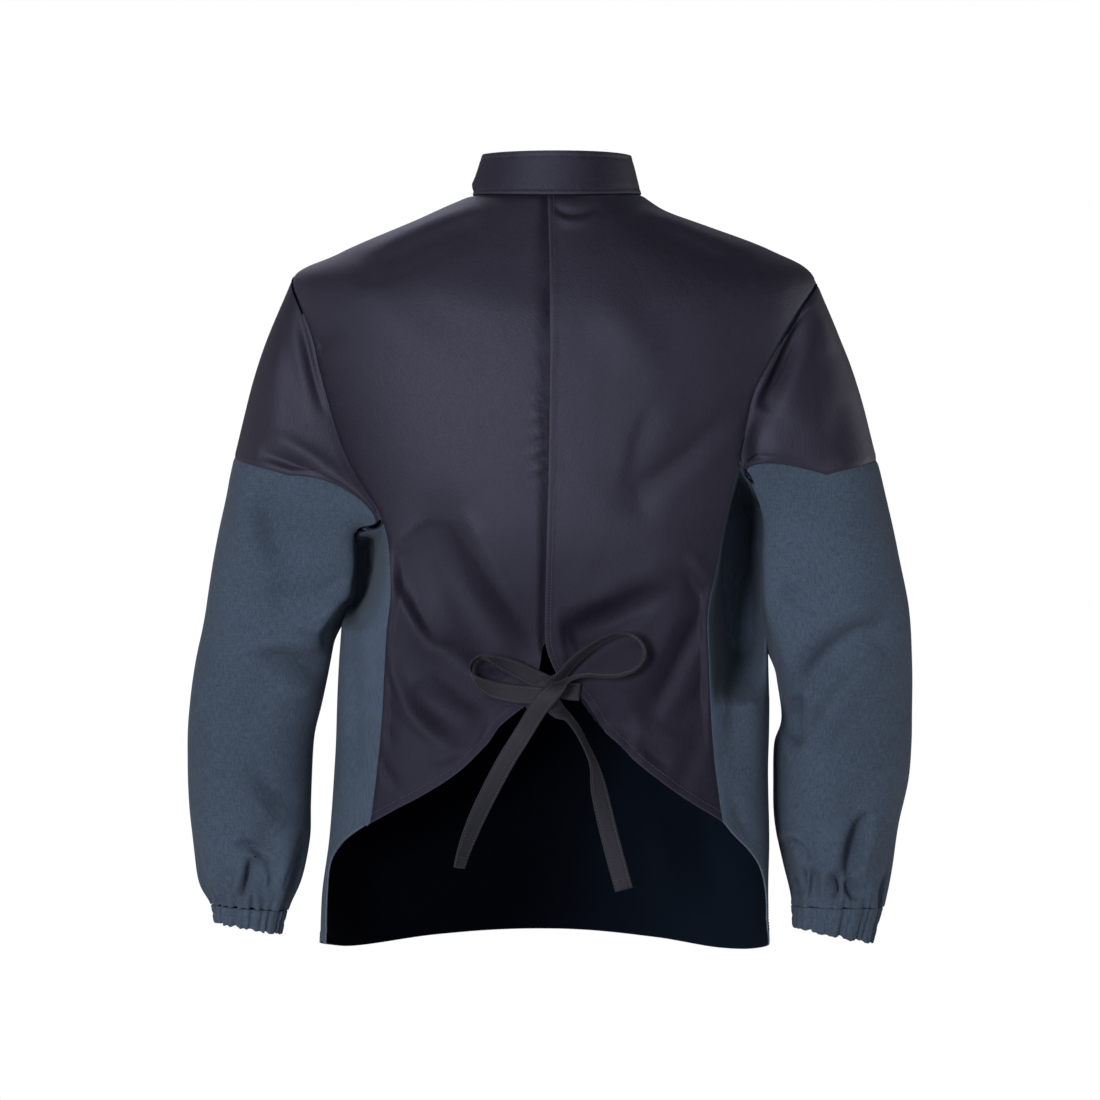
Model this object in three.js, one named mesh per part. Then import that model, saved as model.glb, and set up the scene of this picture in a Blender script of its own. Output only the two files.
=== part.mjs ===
// A long-sleeved welding coat that closes at the back, in the form it has when it is worn.
// Millimetres. X runs to the wearer's right, Y to the front and Z up.
// The origin is the middle of the neck, at the height of the shoulder line.
import * as THREE from 'three';

// Walls, widths and gaps
const clothWall = 1.6;
const bandWall = 3;
const strapWall = 2;
const strapWidth = 18;
const seamGap = 0.2;
const underlapDepth = clothWall + 3.2;
const underlapRamp = 14;
const underlapMargin = 1;
const collarGap = 0.7;
const cuffGap = 0.7;

// Numbers of grid cells
const loopSteps = 24;
const seamStep = 8;
const shoulderCells = 4;
const shoulderEase = 1.5;
const backCells = 11;
const chestCells = 14;
const sleeveSplit = 2;
const capRows = 4;
const cuffRows = 2;
const collarRows = 3;
const collarCells = 44;
const strapSplit = 3;

const navy = { color: 0x2b2a38, roughness: 0.62, metalness: 0 };
const blueGrey = { color: 0x3d4d5c, roughness: 0.85, metalness: 0 };
const strapNavy = { color: 0x33323e, roughness: 0.7, metalness: 0 };

const sign = { left: -1, right: 1 };
const sides = Object.keys(sign);

function table(columns, lines) {
  return lines.map((line) => Object.fromEntries(columns.map((name, k) => [name, line[k]])));
}

// Rings of the body, by how far they drop below the neck at the middle of the back
const neckDrop = 4;
const bodyRings = table(
  ['drop', 'centre', 'halfWidth', 'back', 'front', 'square', 'zLeft', 'zRight', 'zFront'],
  [
    [neckDrop, 7, 84, 75, 78, 2.0, 0, 1, -62],
    [16, 6, 109, 82, 84, 2.05, -11, -15, -74],
    [34, 5, 146, 91, 93, 2.1, -28, -28, -90],
    [72, 5, 214, 109.5, 106, 2.2, -57, -54, -122],
    [122, 3, 262, 127.5, 116, 2.3, -85, -84, -166],
    [180, 3, 255, 133, 122, 2.3, -150, -150, -208],
    [250, 3, 234, 132, 128, 2.3, -236, -236, -264],
    [330, 8, 205, 124, 131, 2.35, -329, -329, -334],
    [385, 9.5, 207, 113, 133, 2.4, -385, -385, -387],
    [440, 4, 214, 103, 135, 2.4, -440, -440, -440],
    [560, 1, 216, 94, 138, 2.4, -560, -560, -560],
    [640, -1, 219.5, 93, 140, 2.4, -640, -640, -640],
    [700, -5, 223, 97, 140, 2.4, -700, -700, -700],
    [760, -5, 225, 101, 140, 2.4, -760, -760, -760],
  ],
);

// Armhole seams, in steps from the shoulder down the back and up the front
const armholeColumns = ['step', 'turn', 'drop'];
const armholes = {
  left: table(armholeColumns, [
    [0, 95, 112],
    [2, 70, 144],
    [4, 65, 213],
    [6, 63, 275],
    [8, 55, 327],
    [10, 71, 337],
    [12, 90, 338],
    [14, 106, 333],
    [16, 118, 316],
    [18, 124, 265],
    [20, 122, 205],
    [22, 112, 147],
  ]),
  right: table(armholeColumns, [
    [0, 94, 124],
    [2, 68, 143],
    [4, 53, 198],
    [6, 51, 240],
    [8, 52, 276],
    [10, 69, 300],
    [12, 90, 309],
    [14, 106, 309],
    [16, 118, 298],
    [18, 124, 252],
    [20, 122, 198],
    [22, 112, 148],
  ]),
};
const shoulderTurn = 98;

// Edges of the panels, as seen from behind
const edgeColumns = ['x', 'z'];
const sideSeams = {
  left: table(edgeColumns, [[-158, -371], [-161, -430], [-165, -500], [-171, -570], [-178, -624]]),
  right: table(edgeColumns, [[171, -335], [157, -405], [157, -470], [161, -545], [170.5, -622]]),
};
const cutaways = {
  left: table(edgeColumns, [[-194, -634], [-209, -648], [-219, -667], [-222, -698], [-222, -745]]),
  right: table(edgeColumns, [[183, -637], [197, -652], [209, -672], [215, -700], [216, -733]]),
};
const centreEdges = {
  left: table(edgeColumns, [
    [34, -4], [34, -120], [34, -250], [32, -360], [20, -415],
    [-5, -446], [-9, -462], [-13, -484], [-22, -505],
  ]),
  right: table(edgeColumns, [
    [-2, -4], [0, -120], [-1, -250], [-4, -380], [-5, -430],
    [-4, -448], [1, -464], [10, -480], [25, -491],
  ]),
};
const hems = {
  left: table(edgeColumns, [
    [-22, -505], [-48, -526], [-62, -545], [-91, -573], [-123, -594], [-151, -609], [-178, -624],
  ]),
  right: table(edgeColumns, [
    [25, -491], [37, -506], [52, -530], [70, -547], [89, -566], [132, -598], [170.5, -622],
  ]),
};
// The lower hem of the front, by the turn from the middle of the back
const frontHem = table(['turn', 'drop'], [
  [70, 738], [80, 744], [90, 749], [105, 755], [120, 759], [135, 758.5], [155, 750.5], [180, 743],
  [205, 748], [225, 754.5], [240, 756], [255, 752], [270, 747], [280, 742], [290, 738],
]);

// Sleeve sections from the colour seam to the wrist: the outer and inner points of each, its middle and
// half depth from back to front, how far its back is lifted and drawn inwards, and its gathers
const sleeveColumns = ['outX', 'outZ', 'inX', 'inZ', 'yMid', 'halfDepth', 'backLift', 'backDraw', 'gather'];
const sleeves = {
  left: table(sleeveColumns, [
    [-316, -261, -202, -348, 5, 74, 24, 28, 0],
    [-325, -304, -202, -364, 8, 71, 14, 44, 0],
    [-337, -364, -204, -396, 12, 68, 6, 44, 0],
    [-347, -424, -214, -434, 18, 65, 0, 14, 0],
    [-356, -466, -222, -475, 23, 63, -3, 0, 0],
    [-362, -506, -229, -508, 28, 62, -4, 0, 0],
    [-365, -548, -238, -547, 32, 61, -4, 0, 0],
    [-363, -607, -241, -605, 36, 59, -4, 0, 0],
    [-358, -648, -243, -646, 39, 56, -3, 0, 1],
    [-350, -688, -254, -686, 42, 48, -2, 0, 4],
    [-341, -711, -266, -717, 44, 36, 0, 0, 1.5],
  ]),
  right: table(sleeveColumns, [
    [327, -264, 220, -318, 5, 74, 11, 24, 0],
    [337, -304, 220, -338, 8, 71, 7, 44, 0],
    [350, -364, 220.5, -372, 12, 69, 4, 47, 0],
    [360, -414, 221.5, -416, 17, 67, 0, 46, 0],
    [363, -465, 224, -463, 22, 65, -2, 22, 0],
    [363, -516, 233, -520, 27, 63, -3, 0, 0],
    [363, -547, 226, -549, 31, 62, -3, 0, 0],
    [360, -588, 225, -588, 34, 60, -3, 0, 0],
    [351, -629, 226, -629, 38, 57, -3, 0, 0],
    [343, -669, 236, -669, 41, 52, -2, 0, 2],
    [337, -693, 244, -693, 43, 47, 0, 0, 4],
    [335, -714, 244, -712, 44, 42, 0, 0, 1.5],
  ]),
};
const sleeveSquare = 2.2;
const capBulge = { left: 6, right: 5 };
// How far the colour seam is drawn up to the armhole at the inner back
const seamPull = 0.5;

// Lower edges of the cuffs, with the same columns as a sleeve section
const cuffEnds = {
  left: table(sleeveColumns, [[-338, -728, -272, -740, 46, 34, 0, 0, 0]])[0],
  right: table(sleeveColumns, [[325, -749, 245, -733, 46, 38, 0, 0, 0]])[0],
};
const pleatCells = 3;
const cuffPleats = 16;
const pleatHeight = { top: 0.8, bottom: 2.4 };
const scallop = 2;

// Long soft folds of the back and sleeves, as lines seen from behind; a groove has a negative depth
const folds = table(['x', 'z', 'toX', 'toZ', 'width', 'depth'], [
  [-111, -334, -55, -440, 30, -10],
  [-158, -392, -115, -448, 14, 4],
  [-136, -466, -92, -516, 20, -6],
  [152, -413, 103, -509, 18, -7],
  [27, -430, 84, -400, 16, -6],
  [196, -214, 88, -300, 22, -6],
  [340, -424, 262, -520, 18, -9],
  [330, -470, 250, -545, 18, 6],
  [-268, -300, -300, -400, 30, -5],
  [-210, -392, -262, -402, 16, -7],
  [-228, -470, -290, -500, 16, -5],
  [306, -600, 298, -680, 18, -5],
  [-280, -630, -290, -690, 14, -6],
]);

// The collar: how far its top leans in, its top at the back and front, and the tab on its left
const collarLean = 10;
const collarTop = { back: 40, front: -17 };
const tab = { turn: -72, lift: 4.8, fullTurn: 15, noneTurn: 70, corner: 9 };
const underTurn = 372;

// The straps: points of the middle line, and the way that the width points there
const strapColumns = ['x', 'y', 'z', 'wideX', 'wideY', 'wideZ'];
const straps = {
  left: table(strapColumns, [
    [-26.5, -100.5, -502.9, -0.3, 0, 1],
    [-13.7, -105.8, -495, -0.45, -0.1, 1],
    [-2, -107.8, -488, -0.5, -0.15, 0.85],
    [9.8, -111.6, -478.2, -0.42, -0.8, 0.43],
    [23.5, -113.7, -462.5, -0.35, -0.87, 0.36],
    [39.1, -114.2, -449.8, -0.25, -0.93, 0.28],
    [54.7, -114.1, -440, -0.12, -0.96, 0.25],
    [68.4, -113.9, -435.6, 0, -1, 0.15],
    [80.2, -112.3, -437.1, 0.1, -1, 0.1],
    [89, -110.4, -444, 0.1, -1, 0],
    [92.9, -109.1, -453.8, 0.1, -1, 0],
    [90, -108.8, -463.6, 0.05, -1, -0.05],
    [82.2, -109.2, -471.4, 0, -1, -0.1],
    [69.4, -110.2, -476.2, 0, -1, -0.12],
    [53.8, -111.4, -477.2, 0, -1, -0.12],
    [37.1, -112.3, -476.2, 0, -1, -0.12],
    [23.5, -113.5, -478.6, 0, -1, -0.15],
    [13.7, -115.7, -482.9, 0.1, -0.95, -0.3],
    [5.9, -118.8, -489.7, 0.5, -0.6, -0.6],
    [-2.9, -118.6, -498.5, 0.8, -0.2, -0.55],
    [-11.7, -114.7, -509.4, 0.86, 0, -0.5],
    [-27.4, -106.5, -535.1, 0.85, 0, -0.53],
    [-46, -107, -565.4, 0.85, 0.1, -0.5],
    [-68.5, -104, -609.6, 0.8, 0.35, -0.42],
    [-82.3, -102, -643, 0.7, 0.65, -0.32],
    [-89.2, -101, -665.6, 0.5, 0.85, -0.2],
  ]),
  right: table(strapColumns, [
    [29.4, -101.1, -493.1, -0.1, 0, 1],
    [13.7, -101.7, -491.2, 0.1, 0, 1],
    [-2, -102.8, -485.7, 0.3, 0, 1],
    [-15.7, -104.1, -479.3, 0.4, -0.1, 1],
    [-29.4, -106.6, -472.4, 0.38, -0.35, 0.85],
    [-44, -109, -465.5, 0.3, -0.65, 0.7],
    [-56.7, -111, -460.1, 0.15, -0.9, 0.4],
    [-67.5, -111.1, -458.1, 0, -0.97, 0.2],
    [-74.8, -110.4, -462.5, -0.1, -0.97, 0.1],
    [-77.7, -110.1, -469.4, -0.1, -0.95, 0.15],
    [-75.3, -110.4, -477.2, -0.05, -0.9, 0.35],
    [-66.5, -111.3, -485, 0.05, -0.7, 0.65],
    [-51.8, -112.1, -491.4, 0.1, -0.35, 0.92],
    [-35.2, -112.8, -494.3, 0.1, -0.15, 1],
    [-19.6, -112.1, -495.7, 0.12, 0, 1],
    [-7.8, -112.2, -497.2, 0.25, 0.1, 1],
    [0, -110.8, -502.6, 0.6, 0.25, 0.7],
    [7.3, -107.2, -510.1, 0.75, 0.5, 0.35],
    [16.6, -103.7, -516.6, 0.45, 0.85, 0.1],
    [26.4, -102.1, -529.3, 0.35, 0.92, 0.1],
    [35.3, -100.6, -546.1, 0.3, 0.95, 0.1],
    [43.1, -104, -564.5, 0.45, 0.88, 0.1],
    [49, -103, -594, 0.88, 0.4, 0.2],
    [59.3, -102, -638.1, 1, 0.1, 0.22],
    [72.5, -101, -687.1, 1, 0, 0.25],
  ]),
};

// A smooth curve through the rows of a table, read at any value of the key column
function readTable(rows, key, at) {
  const last = rows.length - 1;
  let k = 0;
  while (k < last - 1 && at > rows[k + 1][key]) k += 1;
  const from = rows[k];
  const to = rows[k + 1];
  const before = rows[Math.max(k - 1, 0)];
  const after = rows[Math.min(k + 2, last)];
  const span = to[key] - from[key];
  const t = (at - from[key]) / span;
  const read = {};
  for (const name of Object.keys(from)) {
    const slopeFrom = (span * (to[name] - before[name])) / (to[key] - before[key]);
    const slopeTo = (span * (after[name] - from[name])) / (after[key] - from[key]);
    const bend = slopeFrom + slopeTo + 2 * (from[name] - to[name]);
    const rise = to[name] - from[name] - slopeFrom - bend;
    read[name] = from[name] + t * (slopeFrom + t * (rise + t * bend));
  }
  return read;
}

function signedPower(value, power) {
  return Math.sign(value) * Math.abs(value) ** power;
}

// How far the folds lift the cloth at a place seen from behind
function foldLift(x, z) {
  const place = new THREE.Vector3(x, 0, z);
  const nearest = new THREE.Vector3();
  let lift = 0;
  for (const fold of folds) {
    const line = new THREE.Line3(
      new THREE.Vector3(fold.x, 0, fold.z),
      new THREE.Vector3(fold.toX, 0, fold.toZ),
    );
    line.closestPointToPoint(place, true, nearest);
    lift += fold.depth * Math.exp(-((nearest.distanceTo(place) / fold.width) ** 2));
  }
  return lift;
}

// A point of the body: turn 0 is the middle of the back, 90 the right side and 180 the front
function bodyPoint(spot) {
  const ring = readTable(bodyRings, 'drop', spot.y);
  const angle = THREE.MathUtils.degToRad(spot.x);
  const across = Math.sin(angle);
  const ahead = -Math.cos(angle);
  const depth = ahead < 0 ? ring.back : ring.front;
  const zMiddle = ahead < 0 ? -spot.y : ring.zFront;
  const x = ring.centre + ring.halfWidth * signedPower(across, 2 / ring.square);
  const y = depth * signedPower(ahead, 2 / ring.square);
  const zSide = across < 0 ? ring.zLeft : ring.zRight;
  const z = zSide * across ** 2 + zMiddle * ahead ** 2;
  const lift = foldLift(x, z) * Math.max(-ahead, 0);
  return new THREE.Vector3(x, y - lift, z);
}

// The spot of the back, as turn and drop, that lies at a given place seen from behind
function onBack(place) {
  const ring = readTable(bodyRings, 'drop', -place.z);
  const share = THREE.MathUtils.clamp((place.x - ring.centre) / ring.halfWidth, -1, 1);
  const turn = THREE.MathUtils.radToDeg(Math.asin(signedPower(share, ring.square / 2)));
  return new THREE.Vector2(turn, -place.z);
}

function armholeSpot(side, step) {
  const rows = armholes[side];
  const wrapped = [-loopSteps, 0, loopSteps].flatMap((shift) =>
    rows.map((row) => ({ ...row, step: row.step + shift })));
  const read = readTable(wrapped, 'step', step);
  return new THREE.Vector2(sign[side] * read.turn, read.drop);
}

// The shoulder seam from the neck out to the top of the armhole
function shoulderSpots(side) {
  const neck = new THREE.Vector2(sign[side] * shoulderTurn, neckDrop);
  const tip = armholeSpot(side, 0);
  return Array.from({ length: shoulderCells }, (_, k) =>
    neck.clone().lerp(tip, (k / shoulderCells) ** shoulderEase));
}

function armholeSpots(side, first, last) {
  const step = Math.sign(last - first);
  const count = Math.abs(last - first) + 1;
  return Array.from({ length: count }, (_, k) => armholeSpot(side, first + k * step));
}

// Spots spread evenly along a smooth edge given by a table of places on the back
function edgeSpots(rows, cells) {
  const curve = new THREE.CatmullRomCurve3(rows.map((row) => new THREE.Vector3(row.x, 0, row.z)));
  return curve.getSpacedPoints(cells).map(onBack);
}

// Spots along a centre edge, in step with the mean of the two side edges
function centreSpots(side) {
  const rows = centreEdges[side].map((row) => ({ ...row, drop: -row.z }));
  const length = rows.at(-1).drop - neckDrop;
  const [left, right] = sides.map(sideEdge);
  const share = (edge, k) => (edge[k].y - neckDrop) / (edge.at(-1).y - neckDrop);
  return left.map((_, k) => {
    const drop = neckDrop + (length * (share(left, k) + share(right, k))) / 2;
    return onBack({ x: readTable(rows, 'drop', drop).x, z: -drop });
  });
}

// The front counts its turns on from the right side round to the left
function throughFront(spots) {
  return spots.map((spot) => new THREE.Vector2(spot.x < 0 ? spot.x + 360 : spot.x, spot.y));
}

function spread(from, to, cells) {
  return Array.from({ length: cells + 1 }, (_, k) => from.clone().lerp(to, k / cells));
}

// Rows of spots that fill the space between four edges
function patch(top, bottom, start, end) {
  const columns = top.length - 1;
  const rows = start.length - 1;
  return start.map((from, r) => top.map((upper, c) => {
    const across = c / columns;
    const down = r / rows;
    const topChord = top[0].clone().lerp(top[columns], across);
    const bottomChord = bottom[0].clone().lerp(bottom[columns], across);
    const spot = from.clone().lerp(end[r], across);
    spot.addScaledVector(upper.clone().sub(topChord), 1 - down);
    spot.addScaledVector(bottom[c].clone().sub(bottomChord), down);
    return spot;
  }));
}

// A sheet of cloth: its outer points and faces, before it gets its wall
class Sheet {
  constructor(name, wall, finish) {
    this.name = name;
    this.wall = wall;
    this.finish = finish;
    this.points = [];
    this.faces = [];
    this.places = new Map();
  }

  static key(point) {
    return point.toArray().map((value) => Math.round(value * 1000)).join(' ');
  }

  vertex(point) {
    const key = Sheet.key(point);
    if (!this.places.has(key)) {
      this.places.set(key, this.points.length);
      this.points.push(point);
    }
    return this.places.get(key);
  }

  // Adds a grid whose rows run down and whose columns run to the right, seen from outside
  addGrid(grid, { closed = false, mirrored = false } = {}) {
    const index = grid.map((row) => row.map((point) => this.vertex(point)));
    for (let r = 0; r < index.length - 1; r += 1) {
      const columns = index[r].length;
      for (let c = 0; c < (closed ? columns : columns - 1); c += 1) {
        const next = (c + 1) % columns;
        const face = [index[r][c], index[r + 1][c], index[r + 1][next], index[r][next]];
        this.faces.push(mirrored ? face.reverse() : face);
      }
    }
    return this;
  }

  faceNormal(face) {
    const [a, b, c, d] = face.map((index) => this.points[index]);
    return c.clone().sub(a).cross(d.clone().sub(b));
  }

  faceMiddle(face) {
    const middle = new THREE.Vector3();
    face.forEach((index) => middle.addScaledVector(this.points[index], 1 / face.length));
    return middle;
  }
}

// Normals of all points, shared between the sheets that meet at a seam
function sharedNormals(sheets) {
  const normals = new Map();
  for (const sheet of sheets) {
    for (const face of sheet.faces) {
      const normal = sheet.faceNormal(face);
      for (const index of face) {
        const key = Sheet.key(sheet.points[index]);
        if (!normals.has(key)) normals.set(key, new THREE.Vector3());
        normals.get(key).add(normal);
      }
    }
  }
  normals.forEach((normal) => normal.normalize());
  return normals;
}

// The open edges of a sheet, each in the direction of its face
function openEdges(sheet) {
  const edges = new Map();
  for (const face of sheet.faces) {
    face.forEach((from, k) => {
      const to = face[(k + 1) % face.length];
      if (!edges.delete(`${to} ${from}`)) edges.set(`${from} ${to}`, [from, to]);
    });
  }
  return [...edges.values()];
}

// The points of a sheet, drawn back from its open edges by the seam gap
function trimmedPoints(sheet, edges) {
  const inward = new Map(edges.flat().map((index) => [index, new THREE.Vector3()]));
  const along = new Map(edges.flat().map((index) => [index, new THREE.Vector3()]));
  for (const face of sheet.faces) {
    const middle = sheet.faceMiddle(face);
    for (const index of face) {
      if (inward.has(index)) inward.get(index).add(middle).sub(sheet.points[index]);
    }
  }
  for (const [from, to] of edges) {
    const edge = sheet.points[to].clone().sub(sheet.points[from]).normalize();
    along.get(from).add(edge);
    along.get(to).add(edge);
  }
  inward.forEach((way, index) => way.projectOnPlane(along.get(index).normalize()));
  return sheet.points.map((point, index) => {
    const trimmed = point.clone();
    if (inward.has(index)) trimmed.add(inward.get(index).setLength(seamGap));
    return trimmed;
  });
}

function meshFrom(name, finish, points, triangles) {
  const geometry = new THREE.BufferGeometry();
  const coordinates = points.flatMap((point) => point.toArray());
  geometry.setAttribute('position', new THREE.Float32BufferAttribute(coordinates, 3));
  geometry.setIndex(triangles.flat());
  const mesh = new THREE.Mesh(geometry, new THREE.MeshStandardMaterial(finish));
  mesh.name = name;
  return mesh;
}

// The closed solid of a sheet: its outer skin, the inner skin one wall further in, and the rims
function wallMesh(sheet, normals) {
  const edges = openEdges(sheet);
  const outer = trimmedPoints(sheet, edges);
  const inner = outer.map((point, index) => {
    const normal = normals.get(Sheet.key(sheet.points[index]));
    return point.clone().addScaledVector(normal, -sheet.wall);
  });
  const count = outer.length;
  const triangles = [];
  for (const [a, b, c, d] of sheet.faces) {
    triangles.push([a, b, c], [a, c, d]);
    triangles.push([a + count, c + count, b + count], [a + count, d + count, c + count]);
  }
  // The rims on the two sides of a seam are split along the same diagonal
  for (const [from, to] of edges) {
    if (sheet.points[from].z < sheet.points[to].z) {
      triangles.push([to, from, from + count], [to, from + count, to + count]);
    } else {
      triangles.push([to, from, to + count], [from, from + count, to + count]);
    }
  }
  return meshFrom(sheet.name, sheet.finish, [...outer, ...inner], triangles);
}

function sideEdge(side) {
  return [
    ...shoulderSpots(side),
    ...armholeSpots(side, 0, seamStep),
    ...sideSeams[side].map(onBack),
  ];
}

// A back panel; the left one steps in where it runs under the right one
function backPanel(side) {
  const outerEdge = sideEdge(side);
  const centre = centreSpots(side);
  const neckline = spread(outerEdge[0], centre[0], backCells);
  const hem = edgeSpots(hems[side], backCells);
  let spots;
  if (side === 'left') {
    spots = patch(neckline, hem.reverse(), outerEdge, centre);
  } else {
    spots = patch(neckline.reverse(), hem, centre, outerEdge);
  }
  const lap = centreEdges.right.map((row) => ({ ...row, drop: -row.z }));
  const grid = spots.map((row) => row.map((spot) => {
    const point = bodyPoint(spot);
    if (side === 'left') {
      const lapX = readTable(lap, 'drop', Math.min(spot.y, lap.at(-1).drop)).x;
      const rampEnd = lapX - underlapMargin;
      point.y += underlapDepth * THREE.MathUtils.smoothstep(point.x, lapX - underlapRamp, rampEnd);
    }
    return point;
  }));
  return new Sheet(`back_panel_${side}`, clothWall, navy).addGrid(grid);
}

// The front: the chest between the armholes, and the skirt below them from side seam to side seam
function frontPanel() {
  const frontStep = loopSteps - seamStep;
  const chestEdge = (side) => throughFront([
    ...shoulderSpots(side),
    ...armholeSpots(side, loopSteps, frontStep),
  ]);
  const right = chestEdge('right');
  const left = chestEdge('left');
  const neckline = spread(right[0], left[0], chestCells);
  const underarm = spread(right.at(-1), left.at(-1), chestCells);
  const chest = patch(neckline, underarm, right, left);

  const skirtTop = [
    ...armholeSpots('right', seamStep, frontStep - 1),
    ...underarm,
    ...throughFront(armholeSpots('left', frontStep - 1, seamStep)),
  ];
  const skirtEdge = (side) => throughFront([
    armholeSpot(side, seamStep),
    ...[...sideSeams[side], ...cutaways[side]].map(onBack),
  ]);
  const rightEdge = skirtEdge('right');
  const leftEdge = skirtEdge('left');
  const hem = spread(rightEdge.at(-1), leftEdge.at(-1), skirtTop.length - 1);
  for (const spot of hem.slice(1, -1)) {
    spot.y = readTable(frontHem, 'turn', spot.x).drop;
  }
  const skirt = patch(skirtTop, hem, rightEdge, leftEdge);

  const toPoints = (spots) => spots.map((row) => row.map(bodyPoint));
  return new Sheet('front_panel', clothWall, blueGrey).addGrid(toPoints(chest)).addGrid(toPoints(skirt));
}

// The way to a place round a sleeve, at a share of the turn from the outer side over the back
function roundSleeve(share) {
  const angle = 2 * Math.PI * share;
  const outward = signedPower(Math.cos(angle), 2 / sleeveSquare);
  const backward = signedPower(Math.sin(angle), 2 / sleeveSquare);
  const innerBack = 2 * Math.max(backward, 0) * Math.max(-outward, 0);
  return { outward, backward, innerBack };
}

function sectionPoint(section, share, swell = 0) {
  const outer = new THREE.Vector3(section.outX, section.yMid, section.outZ);
  const inner = new THREE.Vector3(section.inX, section.yMid, section.inZ);
  const middle = outer.clone().lerp(inner, 0.5);
  const { outward, backward, innerBack } = roundSleeve(share);
  const point = outer.sub(middle).multiplyScalar(outward);
  point.y -= section.halfDepth * backward;
  point.z += section.backLift * Math.max(backward, 0) * (1 - outward);
  point.x -= Math.sign(middle.x) * section.backDraw * innerBack * backward ** 2;
  point.addScaledVector(point.clone().normalize(), swell);
  return point.add(middle);
}

function pleat(share, pleats) {
  return Math.cos(2 * Math.PI * pleats * share);
}

function smoothLine(points) {
  return new THREE.CatmullRomCurve3(points, false, 'catmullrom');
}

// Rings of a sleeve from its armhole over the colour seam to its wrist
function sleeveRings(side) {
  const gathers = loopSteps / pleatCells;
  const lines = Array.from({ length: loopSteps }, (_, step) => {
    const share = step / loopSteps;
    const sections = sleeves[side].map((section) =>
      sectionPoint(section, share, section.gather * pleat(share, gathers)));
    const armhole = bodyPoint(armholeSpot(side, step));
    const away = sections[0].clone().sub(sectionPoint(sleeves[side][0], share + 0.5)).normalize();
    sections[0].lerp(armhole, seamPull * roundSleeve(share).innerBack);
    const cap = armhole.clone().lerp(sections[0], 0.5);
    cap.addScaledVector(away, (capBulge[side] * (1 + pleat(share, 1))) / 2);
    const controls = [armhole, cap, ...sections];
    const points = smoothLine(controls).getPoints((controls.length - 1) * sleeveSplit);
    const backward = Math.max(Math.sin(2 * Math.PI * share), 0);
    return points.map((point, row) => {
      const lift = row === 0 ? 0 : foldLift(point.x, point.z) * backward;
      return new THREE.Vector3(point.x, point.y - lift, point.z);
    });
  });
  return lines[0].map((_, row) => lines.map((line) => line[row]));
}

function sleeveSheets(side) {
  const rings = sleeveRings(side);
  const layout = { closed: true, mirrored: side === 'right' };
  return [
    new Sheet(`sleeve_upper_${side}`, clothWall, navy).addGrid(rings.slice(0, capRows + 1), layout),
    new Sheet(`sleeve_lower_${side}`, clothWall, blueGrey).addGrid(rings.slice(capRows), layout),
  ];
}

// A cuff: a short pleated band with a scalloped lower edge
function cuffSheet(side) {
  const wrist = sleeves[side].at(-1);
  const end = cuffEnds[side];
  const cells = cuffPleats * pleatCells;
  const rows = Array.from({ length: cuffRows + 1 }, (_, r) => Array.from({ length: cells }, (__, c) => {
    const share = c / cells;
    const down = r / cuffRows;
    const ridge = pleat(share, cuffPleats);
    const swell = THREE.MathUtils.lerp(pleatHeight.top, pleatHeight.bottom, down) * ridge;
    const point = sectionPoint(wrist, share, swell).lerp(sectionPoint(end, share, swell), down);
    point.z -= cuffGap * (1 - down) + scallop * down * ridge;
    return point;
  }));
  const layout = { closed: true, mirrored: side === 'right' };
  return new Sheet(`cuff_${side}`, bandWall, blueGrey).addGrid(rows, layout);
}

// The collar: one band round the neck, from the tab on the left over the back to the end below it
function collarSheet() {
  const turns = spread(new THREE.Vector2(tab.turn, 0), new THREE.Vector2(underTurn, 0), collarCells);
  const { smoothstep, lerp, degToRad } = THREE.MathUtils;
  const grid = Array.from({ length: collarRows + 1 }, (_, r) => turns.map((spot, c) => {
    const base = bodyPoint(new THREE.Vector2(spot.x, neckDrop));
    const middle = new THREE.Vector3(bodyRings[0].centre, 0, base.z);
    const outward = base.clone().sub(middle);
    const lift = tab.lift * (1 - smoothstep(spot.x, tab.fullTurn, tab.noneTurn));
    const ahead = Math.max(-Math.cos(degToRad(spot.x)), 0);
    const topZ = lerp(collarTop.back, collarTop.front, ahead ** 2);
    const corner = c === 0 ? tab.corner : 0;
    const up = 1 - r / collarRows;
    const bottom = base.z + collarGap + corner;
    const z = lerp(bottom, topZ - corner / 2, up);
    const radius = outward.length() + lift - collarLean * up;
    return outward.setLength(radius).add(middle).setZ(z);
  }));
  return new Sheet('collar', bandWall, navy).addGrid(grid);
}

// A strap: a flat ribbon along a smooth line, with its width turned as the table says
function strapMesh(side) {
  const rows = straps[side];
  const line = smoothLine(rows.map((row) => new THREE.Vector3(row.x, row.y, row.z)));
  const wides = smoothLine(rows.map((row) => new THREE.Vector3(row.wideX, row.wideY, row.wideZ)));
  const stations = (rows.length - 1) * strapSplit;
  const points = [];
  const triangles = [];
  for (let k = 0; k <= stations; k += 1) {
    const at = k / stations;
    const along = line.getTangent(at);
    const wide = wides.getPoint(at);
    wide.addScaledVector(along, -wide.dot(along)).setLength(strapWidth / 2);
    const face = along.clone().cross(wide).setLength(strapWall / 2);
    const middle = line.getPoint(at);
    for (const [w, f] of [[-1, -1], [1, -1], [1, 1], [-1, 1]]) {
      points.push(middle.clone().addScaledVector(wide, w).addScaledVector(face, f));
    }
  }
  for (let k = 0; k < stations; k += 1) {
    for (let corner = 0; corner < 4; corner += 1) {
      const a = 4 * k + corner;
      const b = 4 * k + ((corner + 1) % 4);
      triangles.push([a, b, b + 4], [a, b + 4, a + 4]);
    }
  }
  const end = 4 * stations;
  triangles.push([0, 2, 1], [0, 3, 2], [end, end + 1, end + 2], [end, end + 2, end + 3]);
  return meshFrom(`tie_${side}`, strapNavy, points, triangles);
}

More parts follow.
